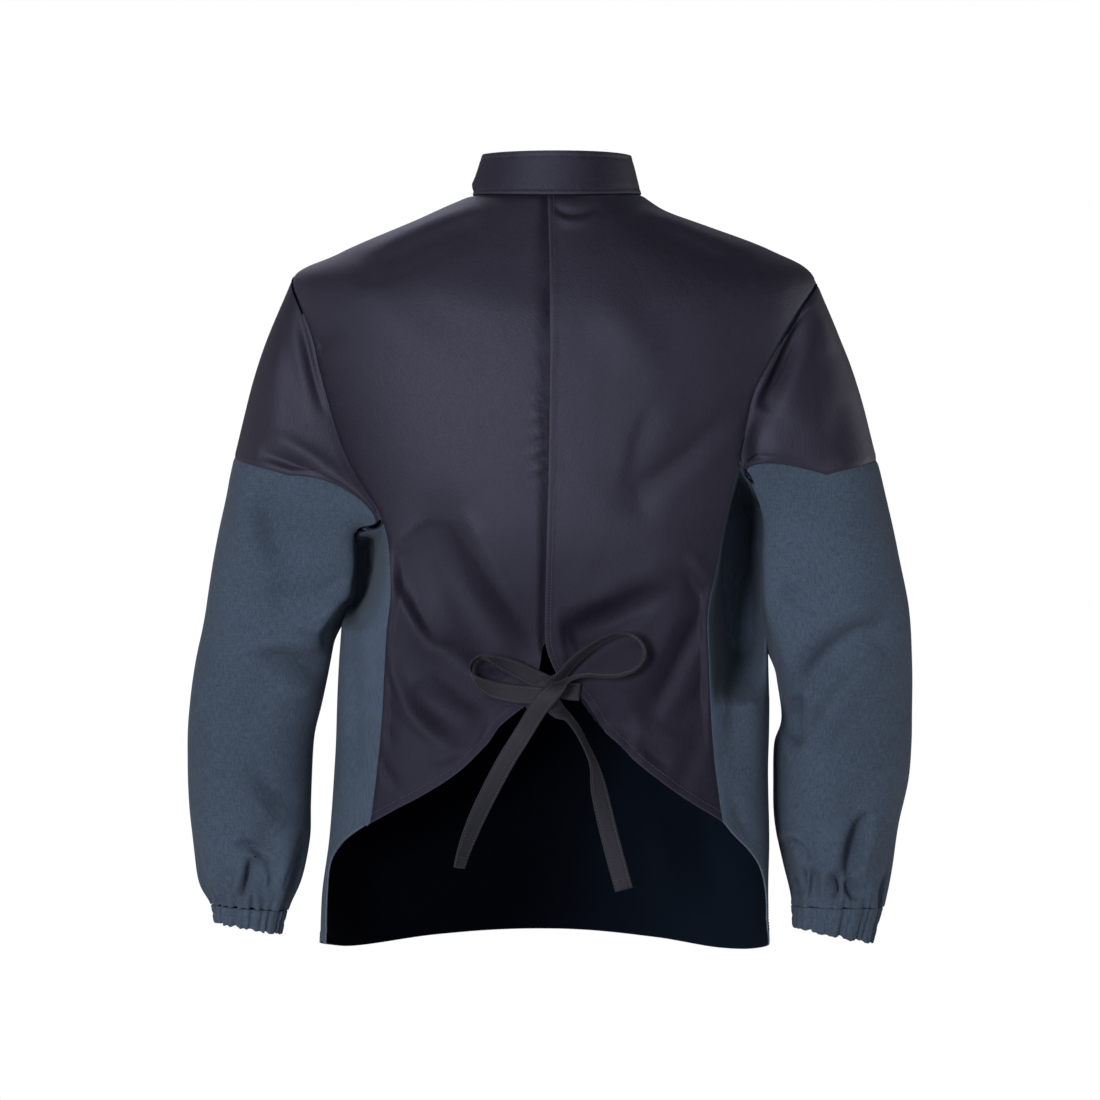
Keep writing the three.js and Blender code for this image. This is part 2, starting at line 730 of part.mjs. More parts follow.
const sewn = [...sides.map(backPanel), frontPanel(), ...sides.flatMap(sleeveSheets)];
const sewnNormals = sharedNormals(sewn);
const bands = [...sides.map(cuffSheet), collarSheet()];

const coat = new THREE.Group();
sewn.forEach((sheet) => coat.add(wallMesh(sheet, sewnNormals)));
bands.forEach((sheet) => coat.add(wallMesh(sheet, sharedNormals([sheet]))));
sides.forEach((side) => coat.add(strapMesh(side)));

export default coat;
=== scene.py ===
import math
import bpy
import numpy as np
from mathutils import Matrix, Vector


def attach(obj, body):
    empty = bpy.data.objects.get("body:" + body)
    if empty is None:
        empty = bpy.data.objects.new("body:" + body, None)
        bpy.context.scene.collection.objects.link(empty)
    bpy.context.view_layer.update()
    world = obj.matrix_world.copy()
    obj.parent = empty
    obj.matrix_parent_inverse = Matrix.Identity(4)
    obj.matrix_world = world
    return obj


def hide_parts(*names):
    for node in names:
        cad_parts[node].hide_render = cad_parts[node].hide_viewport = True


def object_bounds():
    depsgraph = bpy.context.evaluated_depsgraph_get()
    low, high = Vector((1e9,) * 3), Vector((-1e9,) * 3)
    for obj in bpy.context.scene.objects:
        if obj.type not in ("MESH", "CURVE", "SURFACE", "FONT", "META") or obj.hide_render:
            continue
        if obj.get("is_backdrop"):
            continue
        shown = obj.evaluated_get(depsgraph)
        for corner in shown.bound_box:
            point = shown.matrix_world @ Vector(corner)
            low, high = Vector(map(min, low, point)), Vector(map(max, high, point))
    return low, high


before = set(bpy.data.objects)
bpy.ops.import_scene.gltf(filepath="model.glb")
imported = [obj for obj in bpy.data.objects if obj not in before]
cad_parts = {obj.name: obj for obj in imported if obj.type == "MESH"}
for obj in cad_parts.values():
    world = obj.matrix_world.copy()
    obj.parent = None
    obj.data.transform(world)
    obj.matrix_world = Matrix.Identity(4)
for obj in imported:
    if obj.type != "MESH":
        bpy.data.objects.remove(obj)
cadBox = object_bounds()
mm = 0.001
sides = {"left": -1, "right": 1}
white = (1, 1, 1)
print("frame loaded:", len(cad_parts), "nodes")

# The worn form of the coat, in millimetres, with x and z as seen from behind
coatForm = {
    "neckDrop": 4,
    "shoulderTurn": 98,
    "shoulderEase": 1.5,
    "rings": [  # drop, centre, half width, back, front, squareness, z at the left, right and front
        [4, 7, 84, 75, 78, 2.0, 0, 1, -62],
        [16, 6, 109, 82, 84, 2.05, -11, -15, -74],
        [34, 5, 146, 91, 93, 2.1, -28, -28, -90],
        [72, 5, 214, 109.5, 106, 2.2, -57, -54, -122],
        [122, 3, 262, 127.5, 116, 2.3, -85, -84, -166],
        [180, 3, 255, 133, 122, 2.3, -150, -150, -208],
        [250, 3, 234, 132, 128, 2.3, -236, -236, -264],
        [330, 8, 205, 124, 131, 2.35, -329, -329, -334],
        [385, 9.5, 207, 113, 133, 2.4, -385, -385, -387],
        [440, 4, 214, 103, 135, 2.4, -440, -440, -440],
        [560, 1, 216, 94, 138, 2.4, -560, -560, -560],
        [640, -1, 219.5, 93, 140, 2.4, -640, -640, -640],
        [700, -5, 223, 97, 140, 2.4, -700, -700, -700],
        [760, -5, 225, 101, 140, 2.4, -760, -760, -760],
    ],
    "armholes": {  # step round the seam, turn, drop
        "left": [[0, 95, 112], [2, 70, 144], [4, 65, 213], [6, 63, 275], [8, 55, 327], [10, 71, 337],
                 [12, 90, 338], [14, 106, 333], [16, 118, 316], [18, 124, 265], [20, 122, 205], [22, 112, 147]],
        "right": [[0, 94, 124], [2, 68, 143], [4, 53, 198], [6, 51, 240], [8, 52, 276], [10, 69, 300],
                  [12, 90, 309], [14, 106, 309], [16, 118, 298], [18, 124, 252], [20, 122, 198], [22, 112, 148]],
    },
    "sideSeams": {
        "left": [[-158, -371], [-161, -430], [-165, -500], [-171, -570], [-178, -624]],
        "right": [[171, -335], [157, -405], [157, -470], [161, -545], [170.5, -622]],
    },
    "cutaways": {
        "left": [[-194, -634], [-209, -648], [-219, -667], [-222, -698], [-222, -745]],
        "right": [[183, -637], [197, -652], [209, -672], [215, -700], [216, -733]],
    },
    "centreEdges": {
        "left": [[34, -4], [34, -120], [34, -250], [32, -360], [20, -415],
                 [-5, -446], [-9, -462], [-13, -484], [-22, -505]],
        "right": [[-2, -4], [0, -120], [-1, -250], [-4, -380], [-5, -430],
                  [-4, -448], [1, -464], [10, -480], [25, -491]],
    },
    "hems": {
        "left": [[-22, -505], [-48, -526], [-62, -545], [-91, -573], [-123, -594], [-151, -609], [-178, -624]],
        "right": [[25, -491], [37, -506], [52, -530], [70, -547], [89, -566], [132, -598], [170.5, -622]],
    },
    "frontHem": [  # turn, drop
        [70, 738], [80, 744], [90, 749], [105, 755], [120, 759], [135, 758.5], [155, 750.5], [180, 743],
        [205, 748], [225, 754.5], [240, 756], [255, 752], [270, 747], [280, 742], [290, 738],
    ],
    "folds": [  # x, z, to x, to z, width, depth
        [-111, -334, -55, -440, 30, -10], [-158, -392, -115, -448, 14, 4], [-136, -466, -92, -516, 20, -6],
        [152, -413, 103, -509, 18, -7], [27, -430, 84, -400, 16, -6], [196, -214, 88, -300, 22, -6],
        [340, -424, 262, -520, 18, -9], [330, -470, 250, -545, 18, 6],
        [-268, -300, -300, -400, 30, -5], [-210, -392, -262, -402, 16, -7], [-228, -470, -290, -500, 16, -5],
        [306, -600, 298, -680, 18, -5], [-280, -630, -290, -690, 14, -6],
    ],
}
armholeSteps, seamStep, lowestStep = 24, 8, 12  # steps round an armhole, from the shoulder over the back
shoulderEnd, armholeEnd, seamEnd = 4, 12, 17  # numbers along the outer edge of a back panel
seamSpan, skirtSpan = 5, 10  # numbers along the side seam, and with the cut-away


def signedPower(value, power):
    return np.sign(value) * np.abs(value) ** power


def smoothStep(value, low, high):
    share = np.clip((value - low) / (high - low), 0, 1)
    return share * share * (3 - 2 * share)


def unit(ways):
    return ways / np.maximum(np.linalg.norm(ways, axis=-1, keepdims=True), 1e-9)


def bell(value, width):
    return np.exp(-(value / width) ** 2)


# 1 from the place full to the place ease, and 0 outside start and end
def zoneBetween(value, start, full, ease, end):
    return smoothStep(value, start, full) * (1 - smoothStep(value, ease, end))


# Lengths from the first point of a line to each of its points
def lengthsAlong(line):
    return np.concatenate([[0], np.cumsum(np.linalg.norm(np.diff(line, axis=0), axis=1))])


# The columns of a table read at lengths along it
def readColumns(at, lengths, table):
    return np.stack([np.interp(at, lengths, column) for column in table.T], -1)


# A smooth curve through the rows of a table, read at values of its first column
def readTable(rows, at):
    rows, at = np.asarray(rows, float), np.asarray(at, float)
    key, last = rows[:, 0], len(rows) - 1
    k = np.clip(np.searchsorted(key, at) - 1, 0, last - 1)
    before, after = np.maximum(k - 1, 0), np.minimum(k + 2, last)
    span = key[k + 1] - key[k]
    share = ((at - key[k]) / span)[..., None]
    slopeFrom = (span / (key[k + 1] - key[before]))[..., None] * (rows[k + 1] - rows[before])
    slopeTo = (span / (key[after] - key[k]))[..., None] * (rows[after] - rows[k])
    bend = slopeFrom + slopeTo + 2 * (rows[k] - rows[k + 1])
    rise = rows[k + 1] - rows[k] - slopeFrom - bend
    return rows[k] + share * (slopeFrom + share * (rise + share * bend))


# A smooth line through points, read at fractions of their numbers
def throughPoints(points, at):
    points, at = np.asarray(points, float), np.asarray(at, float)
    padded = np.concatenate([[2 * points[0] - points[1]], points, [2 * points[-1] - points[-2]]])
    k = np.clip(np.floor(at).astype(int), 0, len(points) - 2)
    share = (at - k).reshape(at.shape + (1,) * (points.ndim - 1))
    start, end = padded[k + 1], padded[k + 2]
    leave, arrive = (end - padded[k]) / 2, (padded[k + 3] - start) / 2
    return start + share * (leave + share * (3 * (end - start) - 2 * leave - arrive
                                             + share * (2 * (start - end) + leave + arrive)))


# The same line read at even steps along its length
def spacedLine(points, shares, fine=24):
    dense = throughPoints(points, np.linspace(0, len(points) - 1, fine * (len(points) - 1) + 1))
    length = lengthsAlong(dense)
    return readColumns(shares * length[-1], length, dense)


# Share along a straight line of the place nearest to each point, and the way from there
def offLine(x, z, startX, startZ, endX, endZ):
    wayX, wayZ = endX - startX, endZ - startZ
    share = np.clip(((x - startX) * wayX + (z - startZ) * wayZ) / (wayX ** 2 + wayZ ** 2), 0, 1)
    return share, x - startX - share * wayX, z - startZ - share * wayZ


def foldLift(x, z):
    lift = np.zeros_like(x)
    for *ends, width, depth in coatForm["folds"]:
        _, offX, offZ = offLine(x, z, *ends)
        lift += depth * bell(np.hypot(offX, offZ), width)
    return lift


# A point of the body: turn 0 is the middle of the back, 90 the right side and 180 the front
def bodyPoint(spots):
    turn, drop = spots[..., 0], spots[..., 1]
    ring = readTable(coatForm["rings"], drop)
    across, ahead = np.sin(np.radians(turn)), -np.cos(np.radians(turn))
    behind = ahead < 0
    depth = np.where(behind, ring[..., 3], ring[..., 4])
    zMiddle = np.where(behind, -drop, ring[..., 8])
    zSide = np.where(across < 0, ring[..., 6], ring[..., 7])
    x = ring[..., 1] + ring[..., 2] * signedPower(across, 2 / ring[..., 5])
    y = depth * signedPower(ahead, 2 / ring[..., 5])
    z = zSide * across ** 2 + zMiddle * ahead ** 2
    return np.stack([x, y - foldLift(x, z) * np.maximum(-ahead, 0), z], -1)


# The turn and drop of a place on the back
def onBack(places):
    places = np.asarray(places, float)
    ring = readTable(coatForm["rings"], -places[..., 1])
    share = np.clip((places[..., 0] - ring[..., 1]) / ring[..., 2], -1, 1)
    turn = np.degrees(np.arcsin(signedPower(share, ring[..., 5] / 2)))
    return np.stack([turn, -places[..., 1]], -1)


def armholeSpot(side, step):
    rows = np.array(coatForm["armholes"][side], float)
    wrapped = np.concatenate([rows + [shift, 0, 0] for shift in (-armholeSteps, 0, armholeSteps)])
    read = readTable(wrapped, step)
    return np.stack([sides[side] * read[..., 1], read[..., 2]], -1)


def shoulderSpot(side, share):
    neck = np.array([sides[side] * coatForm["shoulderTurn"], coatForm["neckDrop"]])
    tip = armholeSpot(side, np.zeros(1))
    return neck + (tip - neck) * (share ** coatForm["shoulderEase"])[:, None]


# The side seam and the cut-away below it, from the armhole down
def skirtEdge(side, index):
    seam, cut = coatForm["sideSeams"][side], coatForm["cutaways"][side]
    top = armholeSpot(side, np.array([float(seamStep)]))
    upper = throughPoints(np.concatenate([top, onBack(seam)]), np.minimum(index, seamSpan))
    lower = throughPoints(onBack(seam[-1:] + cut), np.maximum(index - seamSpan, 0))
    return np.where((index > seamSpan)[:, None], lower, upper)


# The shoulder and the armhole below it, on the back or round the front
def upperEdge(side, index, front=False):
    step = np.clip(index - shoulderEnd, 0, seamStep)
    return np.where((index < shoulderEnd)[:, None], shoulderSpot(side, np.minimum(index, shoulderEnd) / shoulderEnd),
                    armholeSpot(side, armholeSteps - step if front else step))


# The outer edge of a back panel: shoulder, armhole and side seam
def sideEdge(side, index):
    lower = skirtEdge(side, np.maximum(index - armholeEnd, 0))
    return np.where((index > armholeEnd)[:, None], lower, upperEdge(side, index))


def lengthShare(line):
    length = lengthsAlong(line)
    return length / length[-1]


# Drop and x of the free edge at the middle of the back
def centreRows(side):
    return np.array(coatForm["centreEdges"][side], float)[:, ::-1] * [-1, 1]


# The free edge in step with the outer edge of the panel
def centreSpot(side, outer):
    rows = centreRows(side)
    neck = coatForm["neckDrop"]
    drop = neck + (rows[-1, 0] - neck) * lengthShare(bodyPoint(outer))
    return onBack(np.stack([readTable(rows, drop)[:, 1], -drop], -1))


def throughFront(spots):
    return np.stack([np.where(spots[..., 0] < 0, spots[..., 0] + 360, spots[..., 0]), spots[..., 1]], -1)


def spread(start, end, shares):
    return start + (end - start) * shares[:, None]


# Rows of spots that fill the space between four edges
def patch(top, bottom, start, end, across, down):
    side, fall = across[None, :, None], down[:, None, None]
    spots = start[:, None] * (1 - side) + end[:, None] * side
    spots = spots + (top - spread(top[0], top[-1], across)) * (1 - fall)
    return spots + (bottom - spread(bottom[0], bottom[-1], across)) * fall


# Even steps, with extra ones in the cells next to either end
def steps(start, end, cells, fineStart=0, fineEnd=0, split=3):
    line = np.linspace(start, end, cells + 1)
    head = np.linspace(line[0], line[fineStart], fineStart * split + 1)
    tail = np.linspace(line[-1 - fineEnd], line[-1], fineEnd * split + 1)
    return np.unique(np.round(np.concatenate([line, head, tail]), 9))


def joinedSteps(*stretches):
    return np.unique(np.concatenate([steps(*stretch) for stretch in stretches]))


# Distance of points from a line, and how far along it the nearest place is
def nearLine(points, line, step=1.5, blockSize=500):
    length = lengthsAlong(line)
    even = np.linspace(0, length[-1], max(int(length[-1] / step), 2))
    dense = readColumns(even, length, line)
    flat = points.reshape(-1, 3)
    gaps, places = [], []
    for block in np.array_split(flat, len(flat) // blockSize + 1):
        square = ((block[:, None] - dense) ** 2).sum(-1)
        gaps.append(np.sqrt(square.min(1)))
        places.append(even[square.argmin(1)])
    return np.concatenate(gaps).reshape(points.shape[:-1]), np.concatenate(places).reshape(points.shape[:-1])


creaseForm = {"cells": 12, "taper": 0.7, "relief": 2.6, "crestEase": 2.5}


# Gap from a curve through the start, middle and end places of a row, its taper there and the side, seen from behind
def nearCurve(x, z, row):
    cells = creaseForm["cells"]
    share = np.linspace(0, 1, cells + 1)[:, None]
    start, middle, end = np.array(row[0:2]), np.array(row[2:4]), np.array(row[4:6])
    line = start * (1 - share) * (1 - 2 * share) + 4 * middle * share * (1 - share) + end * share * (2 * share - 1)
    best, at, hand = np.full(x.shape, 1e9), np.zeros(x.shape), np.zeros(x.shape)
    for k in range(cells):
        wayX, wayZ = line[k + 1] - line[k]
        along, offX, offZ = offLine(x, z, *line[k], *line[k + 1])
        gap = np.hypot(offX, offZ)
        closer = gap < best
        best = np.where(closer, gap, best)
        at = np.where(closer, (k + along) / cells, at)
        hand = np.where(closer, np.sign(wayX * offZ - wayZ * offX), hand)
    return best, np.abs(np.sin(np.pi * at)) ** creaseForm["taper"], hand


# Creases as rows of start, middle and end places, width, depth and lean
def creaseLift(x, z, creases, relief=creaseForm["relief"]):
    lift = np.zeros_like(x)
    for row in creases:
        width, depth, lean = row[6:9]
        gap, taper, hand = nearCurve(x, z, row)
        lift += depth * taper * bell(gap, width * (1 + lean * hand))
    return lift * relief


# Crest lines that fall away on one side: start, middle and end places, fall, near and far reach, side
def crestFall(x, z, crests):
    lift = np.zeros_like(x)
    for row in crests:
        fall, near, far, side = row[6:10]
        gap, taper, hand = nearCurve(x, z, row)
        past = np.where(hand == side, gap ** 2 / (gap + creaseForm["crestEase"]), 0)
        lift -= fall * taper * np.tanh(past / near) * bell(past, far)
    return lift


# Soft seeded noise between -1 and 1, with lumps one unit wide
def softNoise(u, v, seed, cells=64):
    lattice = np.random.default_rng(seed).uniform(-1, 1, (cells, cells))
    i, j = np.floor(u).astype(int), np.floor(v).astype(int)
    a, b = u - i, v - j
    a, b = a * a * (3 - 2 * a), b * b * (3 - 2 * b)
    i, j, nextI, nextJ = i % cells, j % cells, (i + 1) % cells, (j + 1) % cells
    low = lattice[i, j] * (1 - a) + lattice[nextI, j] * a
    high = lattice[i, nextJ] * (1 - a) + lattice[nextI, nextJ] * a
    return low * (1 - b) + high * b


# Broad and fine lumps: width, height, slant and shift
wrinkleForm = {"turn": 0.8, "lumps": [[62, 95, 0.35, 9], [23, 34, -0.5, 5]]}


def wrinkles(points, seed, large, small):
    x, y, z = points[..., 0], points[..., 1], points[..., 2]
    about = x + wrinkleForm["turn"] * y
    broad, fine = (softNoise(about / width + shift, (z + slant * x) / height + shift, seed + k)
                   for k, (width, height, slant, shift) in enumerate(wrinkleForm["lumps"]))
    return large * broad + small * fine


def gridNormals(points, closed=False, mirrored=False):
    if closed:
        right = np.roll(points, -1, 1) - np.roll(points, 1, 1)
    else:
        right = np.gradient(points, axis=1)
    down = np.gradient(points, axis=0)
    normals = unit(np.cross(down, right))
    return -normals if mirrored else normals


# The way out of the body's smooth form
def bodyNormals(spots, step=0.4):
    right = bodyPoint(spots + [step, 0]) - bodyPoint(spots - [step, 0])
    down = bodyPoint(spots + [0, step]) - bodyPoint(spots - [0, step])
    return unit(np.cross(down, right))


# Lengths across and down the cloth, in metres
def clothUv(points, closed=False):
    wide = np.concatenate([points, points[:, :1]], 1) if closed else points
    across = np.cumsum(np.linalg.norm(np.diff(wide, axis=1, prepend=wide[:, :1]), axis=-1), axis=1)
    across = across - across[:, wide.shape[1] // 2][:, None]
    down = np.cumsum(np.linalg.norm(np.diff(wide, axis=0, prepend=wide[:1]), axis=-1), axis=0)
    return np.stack([across, down], -1) * mm


def newMesh(name, spots, faces, uvs, finish, marks=None, lining=None, linedFaces=None):
    mesh = bpy.data.meshes.new(name)
    mesh.from_pydata((spots * mm).tolist(), [], [list(map(int, face)) for face in faces])
    layer = mesh.uv_layers.new(name="cloth")
    layer.data.foreach_set("uv", np.concatenate([np.asarray(uv, float).reshape(-1) for uv in uvs]))
    for mark, values in (marks or {}).items():
        attribute = mesh.attributes.new(mark, "FLOAT", "POINT")
        attribute.data.foreach_set("value", np.asarray(values, float))
    mesh.polygons.foreach_set("use_smooth", np.ones(len(mesh.polygons), bool))
    mesh.materials.append(finish)
    if lining:
        mesh.materials.append(lining)
        mesh.polygons.foreach_set("material_index", linedFaces)
    mesh.update()
    piece = bpy.data.objects.new(name, mesh)
    bpy.context.scene.collection.objects.link(piece)
    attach(piece, "root")
    return piece


cellCorners = [(0, 0), (1, 0), (1, 1), (0, 1)]


# The corners of each cell of a grid
def cellsOf(grid, corners=cellCorners):
    rows, columns = grid.shape[0] - 1, grid.shape[1] - 1
    cells = np.stack([grid[r:r + rows, c:c + columns] for r, c in corners], 2)
    return cells.reshape((-1, 4) + grid.shape[2:])


# The cells of a grid that closes both ways
def ringFaces(points):
    index = np.arange(points.shape[0] * points.shape[1]).reshape(points.shape[:2])
    return cellsOf(np.pad(index, (0, 1), mode="wrap"))


# noHem marks cloth away from any worn edge, and weldSteps is the number in a millimetre
edgeForm = {"inset": 0.35, "roundness": 0.3, "noHem": 99.0, "weldSteps": 1000}


# A cloth piece: outer skin, inner skin one wall further in, and rounded rims between them
def clothPiece(name, grids, wall, node, slot):
    spots, faces, uvs, hems, count = [], [], [], [], 0
    for grid in grids:
        points, uv = grid["points"], grid["uv"]
        index = count + np.arange(points.shape[0] * points.shape[1]).reshape(points.shape[:2])
        count += index.size
        if grid.get("closed"):
            index = np.concatenate([index, index[:, :1]], 1)
        corners = cellCorners[::-1] if grid.get("mirrored") else cellCorners
        faces.append(cellsOf(index, corners))
        uvs.append(cellsOf(uv, corners))
        spots.append(points.reshape(-1, 3))
        hems.append(grid.get("hem", np.full(points.shape[:2], edgeForm["noHem"])).reshape(-1))
    spots, faces, uvs, hems = (np.concatenate(part) for part in (spots, faces, uvs, hems))
    _, first, back = np.unique(np.round(spots * edgeForm["weldSteps"]).astype(np.int64), axis=0,
                               return_index=True, return_inverse=True)
    spots, hems, faces = spots[first], hems[first], back.reshape(-1)[faces]
    count = len(spots)

    slopes = np.cross(spots[faces[:, 2]] - spots[faces[:, 0]], spots[faces[:, 3]] - spots[faces[:, 1]])
    normals = np.zeros_like(spots)
    for k in range(4):
        np.add.at(normals, faces[:, k], slopes)
    normals = unit(normals)

    heads, tails = faces.reshape(-1), np.roll(faces, -1, 1).reshape(-1)
    isOpen = ~np.isin(heads * count + tails, tails * count + heads)
    starts, ends = heads[isOpen], tails[isOpen]
    startUv, endUv = uvs.reshape(-1, 2)[isOpen], np.roll(uvs, -1, 1).reshape(-1, 2)[isOpen]
    way = unit(spots[ends] - spots[starts])
    outward = np.zeros_like(spots)
    for edge in (starts, ends):
        np.add.at(outward, edge, np.cross(way, normals[edge]))
    rim = np.unique(np.concatenate([starts, ends]))
    outward = unit(outward)
    spots[rim] -= outward[rim] * edgeForm["inset"]
    inner = spots - normals * wall
    middle = spots[rim] - normals[rim] * wall / 2 + outward[rim] * wall * edgeForm["roundness"]
    middleOf = np.zeros(count, int)
    middleOf[rim] = 2 * count + np.arange(len(rim))

    rimOuter = np.stack([ends, starts, middleOf[starts], middleOf[ends]], 1)
    rimInner = np.stack([middleOf[ends], middleOf[starts], starts + count, ends + count], 1)
    rimUv = np.stack([endUv, startUv, startUv, endUv], 1)
    allFaces = np.concatenate([faces, faces[:, ::-1] + count, rimOuter, rimInner])
    allUvs = [uvs, uvs[:, ::-1], rimUv, rimUv]
    marks = {"hem": np.concatenate([hems, hems, hems[rim]])}
    lined = np.concatenate([np.zeros(len(faces), int), np.ones(len(faces), int), np.zeros(2 * len(starts), int)])
    piece = newMesh(name, np.concatenate([spots, inner, middle]), allFaces, allUvs, finishes[slot], marks,
                    finishes["lining_" + slot], lined)
    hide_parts(node)
    area = np.linalg.norm(slopes, axis=1).sum() / 2 * mm * mm
    print(f"{name}: {len(allFaces) * 2} triangles, {area:.4f} square metres")
    return piece


# Shader values that take part in Python sums
class Strand:
    def __init__(self, finish, socket):
        self.finish, self.socket = finish, socket

    def maths(self, operation, first, second):
        return self.finish.node("ShaderNodeMath", {"operation": operation}, {0: first, 1: second})

    def __add__(self, other): return self.maths("ADD", self, other)
    def __radd__(self, other): return self.maths("ADD", other, self)
    def __sub__(self, other): return self.maths("SUBTRACT", self, other)
    def __rsub__(self, other): return self.maths("SUBTRACT", other, self)
    def __mul__(self, other): return self.maths("MULTIPLY", self, other)
    def __rmul__(self, other): return self.maths("MULTIPLY", other, self)


class Finish:
    def __init__(self, name):
        self.material = bpy.data.materials.new(name)
        self.material.use_nodes = True
        self.tree = self.material.node_tree
        self.tree.nodes.clear()

    def node(self, kind, settings=None, inputs=None, out=0):
        made = self.tree.nodes.new(kind)
        for key, value in (settings or {}).items():
            setattr(made, key, value)
        for key, value in (inputs or {}).items():
            if isinstance(value, Strand):
                self.tree.links.new(value.socket, made.inputs[key])
            else:
                made.inputs[key].default_value = value
        return Strand(self, made.outputs[out]) if made.outputs else None

    def mix(self, share, first, second):
        settings = {"data_type": "RGBA", "blend_type": "MIX"}
        return self.node("ShaderNodeMix", settings, {0: share, 6: first, 7: second}, 2)

    def scaled(self, place, factors):
        return self.node("ShaderNodeVectorMath", {"operation": "MULTIPLY"}, {0: place, 1: factors})

    def noise(self, place, scale, detail=2.0, roughness=0.5):
        inputs = {"Vector": place, "Scale": scale, "Detail": detail, "Roughness": roughness}
        return self.node("ShaderNodeTexNoise", None, inputs)

    def clothPlace(self):
        return self.node("ShaderNodeUVMap", {"uv_map": "cloth"})

    def objectPlace(self):
        return self.node("ShaderNodeTexCoord", out=3)

    def threads(self, uv, across, along, detail=2.0, roughness=0.5):
        return self.noise(self.scaled(uv, (across, along, 1)), 1.0, detail, roughness)

    def wave(self, direction, place, scale, distortion):
        return self.node("ShaderNodeTexWave", {"bands_direction": direction},
                         {"Vector": place, "Scale": scale, "Distortion": distortion})

    def eased(self, value, start, end, low, high):
        return self.node("ShaderNodeMapRange", {"interpolation_type": "SMOOTHSTEP"},
                         {"Value": value, "From Min": start, "From Max": end, "To Min": low, "To Max": high})

    # How worn the cloth is beside its hems
    def worn(self, reach, most):
        return self.eased(self.node("ShaderNodeAttribute", {"attribute_name": "hem"}, out=2), reach, 0.0, 0.0, most)

    def bump(self, strength, distance, height):
        return self.node("ShaderNodeBump", None, {"Strength": strength, "Distance": distance, "Height": height})

    def shader(self, inputs):
        return self.node("ShaderNodeBsdfPrincipled", None, inputs)

    def shown(self, shader):
        self.node("ShaderNodeOutputMaterial", None, {"Surface": shader})
        return self.material

    def finished(self, inputs):
        return self.shown(self.shader(inputs))


def rgb(red, green, blue):
    return (red, green, blue, 1.0)


navyLook = {
    "dark": rgb(0.004, 0.0038, 0.008), "light": rgb(0.014, 0.0132, 0.024), "edge": rgb(0.040, 0.038, 0.060),
    "threads": 2400, "roughness": 0.59, "bump": 0.6, "bumpHeight": 0.0006, "wornReach": 2.2, "wornMost": 0.55,
    # painted shade: low down the satin's specular level is cut, so the lower back comes out darker, standing in for
    # the shade there
    "lowShadeShare": 0.66, "lowShadeFrom": -0.30, "lowShadeTo": -0.45, "lowShadeSpecular": 0.12,  # low down, by height
    "shader": {"Specular IOR Level": 0.6, "Specular Tint": rgb(0.74, 0.71, 1.0), "Sheen Weight": 0.03,
               "Sheen Roughness": 0.4, "Sheen Tint": rgb(0.62, 0.60, 0.82)},
}


def navySatin():
    look, f = navyLook, Finish("navy_satin")
    uv, place = f.clothPlace(), f.objectPlace()
    broad = f.noise(place, 9.0, 3.0)
    grain = f.threads(uv, 1500, 420)
    slub = f.threads(uv, 900, 45, 1.0)
    twill = f.wave("DIAGONAL", f.scaled(uv, (look["threads"], look["threads"] * 0.6, 1)), 0.16, 0.6)
    mottle = f.threads(uv, 420, 300, 3.0, 0.65)
    streak = f.threads(uv, 800, 34, 2.0, 0.6)
    share = broad * 0.3 + grain * 0.25 + slub * 0.3 + (mottle - 0.5) * 0.7 + (streak - 0.5) * 0.9 + 0.1
    colour = f.mix(share, look["dark"], look["light"])
    colour = f.mix(f.worn(look["wornReach"], look["wornMost"]) * (0.5 + grain), colour, look["edge"])
    height = twill * 0.08 + grain * 0.4 + slub * 0.3 + mottle * 0.9
    roughness = look["roughness"] + (mottle - 0.5) * 0.2 + (streak - 0.5) * 0.12 + broad * 0.06
    inputs = {"Base Color": colour, "Roughness": roughness,
              "Normal": f.bump(look["bump"], look["bumpHeight"], height), **look["shader"]}
    satin = f.shader(inputs)
    # painted shade: a low-specular copy of the satin, mixed in by height so the lower back looks shaded
    flat = f.shader({**inputs, "Specular IOR Level": look["lowShadeSpecular"]})
    low = f.node("ShaderNodeSeparateXYZ", None, {0: place}, 2)
    lowShadeShare = f.eased(low + (broad - 0.5) * 0.08, look["lowShadeFrom"], look["lowShadeTo"], 0.0, look["lowShadeShare"])
    return f.shown(f.node("ShaderNodeMixShader", None, {0: lowShadeShare, 1: satin, 2: flat}))


blueLook = {
    "dark": rgb(0.034, 0.048, 0.073), "light": rgb(0.068, 0.094, 0.140), "pale": rgb(0.120, 0.155, 0.205),
    "toneFrom": 0.29, "toneTo": 0.79, "roughness": 0.88, "bump": 0.25, "bumpHeight": 0.0005,
    "wornReach": 2.4, "wornMost": 0.5,
    "shader": {"Specular IOR Level": 0.12, "Sheen Weight": 0.05, "Sheen Roughness": 0.5},
}


def blueGreyCloth():
    look, f = blueLook, Finish("blue_grey_cloth")
    uv, place = f.clothPlace(), f.objectPlace()
    broad = f.noise(place, 8.0, 3.0)
    warp = f.threads(uv, 950, 120, 2.0, 0.6)
    weft = f.threads(uv, 130, 950, 2.0, 0.6)
    speck = f.threads(uv, 620, 420, 3.0, 0.6)
    thread = f.wave("X", f.scaled(uv, (320, 1, 1)), 1.0, 0.8)
    heather = warp * 0.6 + weft * 0.4 + (speck - 0.5) * 0.4 + (broad - 0.5) * 0.3
    colour = f.mix(f.eased(heather, look["toneFrom"], look["toneTo"], 0.0, 1.0), look["dark"], look["light"])
    colour = f.mix(f.worn(look["wornReach"], look["wornMost"]), colour, look["pale"])
    height = thread * 0.4 + speck * 0.4 + warp * 0.3
    return f.finished({"Base Color": colour, "Roughness": look["roughness"] + (speck - 0.5) * 0.2,
                       "Normal": f.bump(look["bump"], look["bumpHeight"], height), **look["shader"]})


liningLook = {
    "roughness": 0.9, "bump": 0.2, "bumpHeight": 0.0005, "shader": {"Specular IOR Level": 0.03},
    "drift": [-0.06, 0.22, -0.5, 0.6],  # from x, to x, and the change of tone there
}


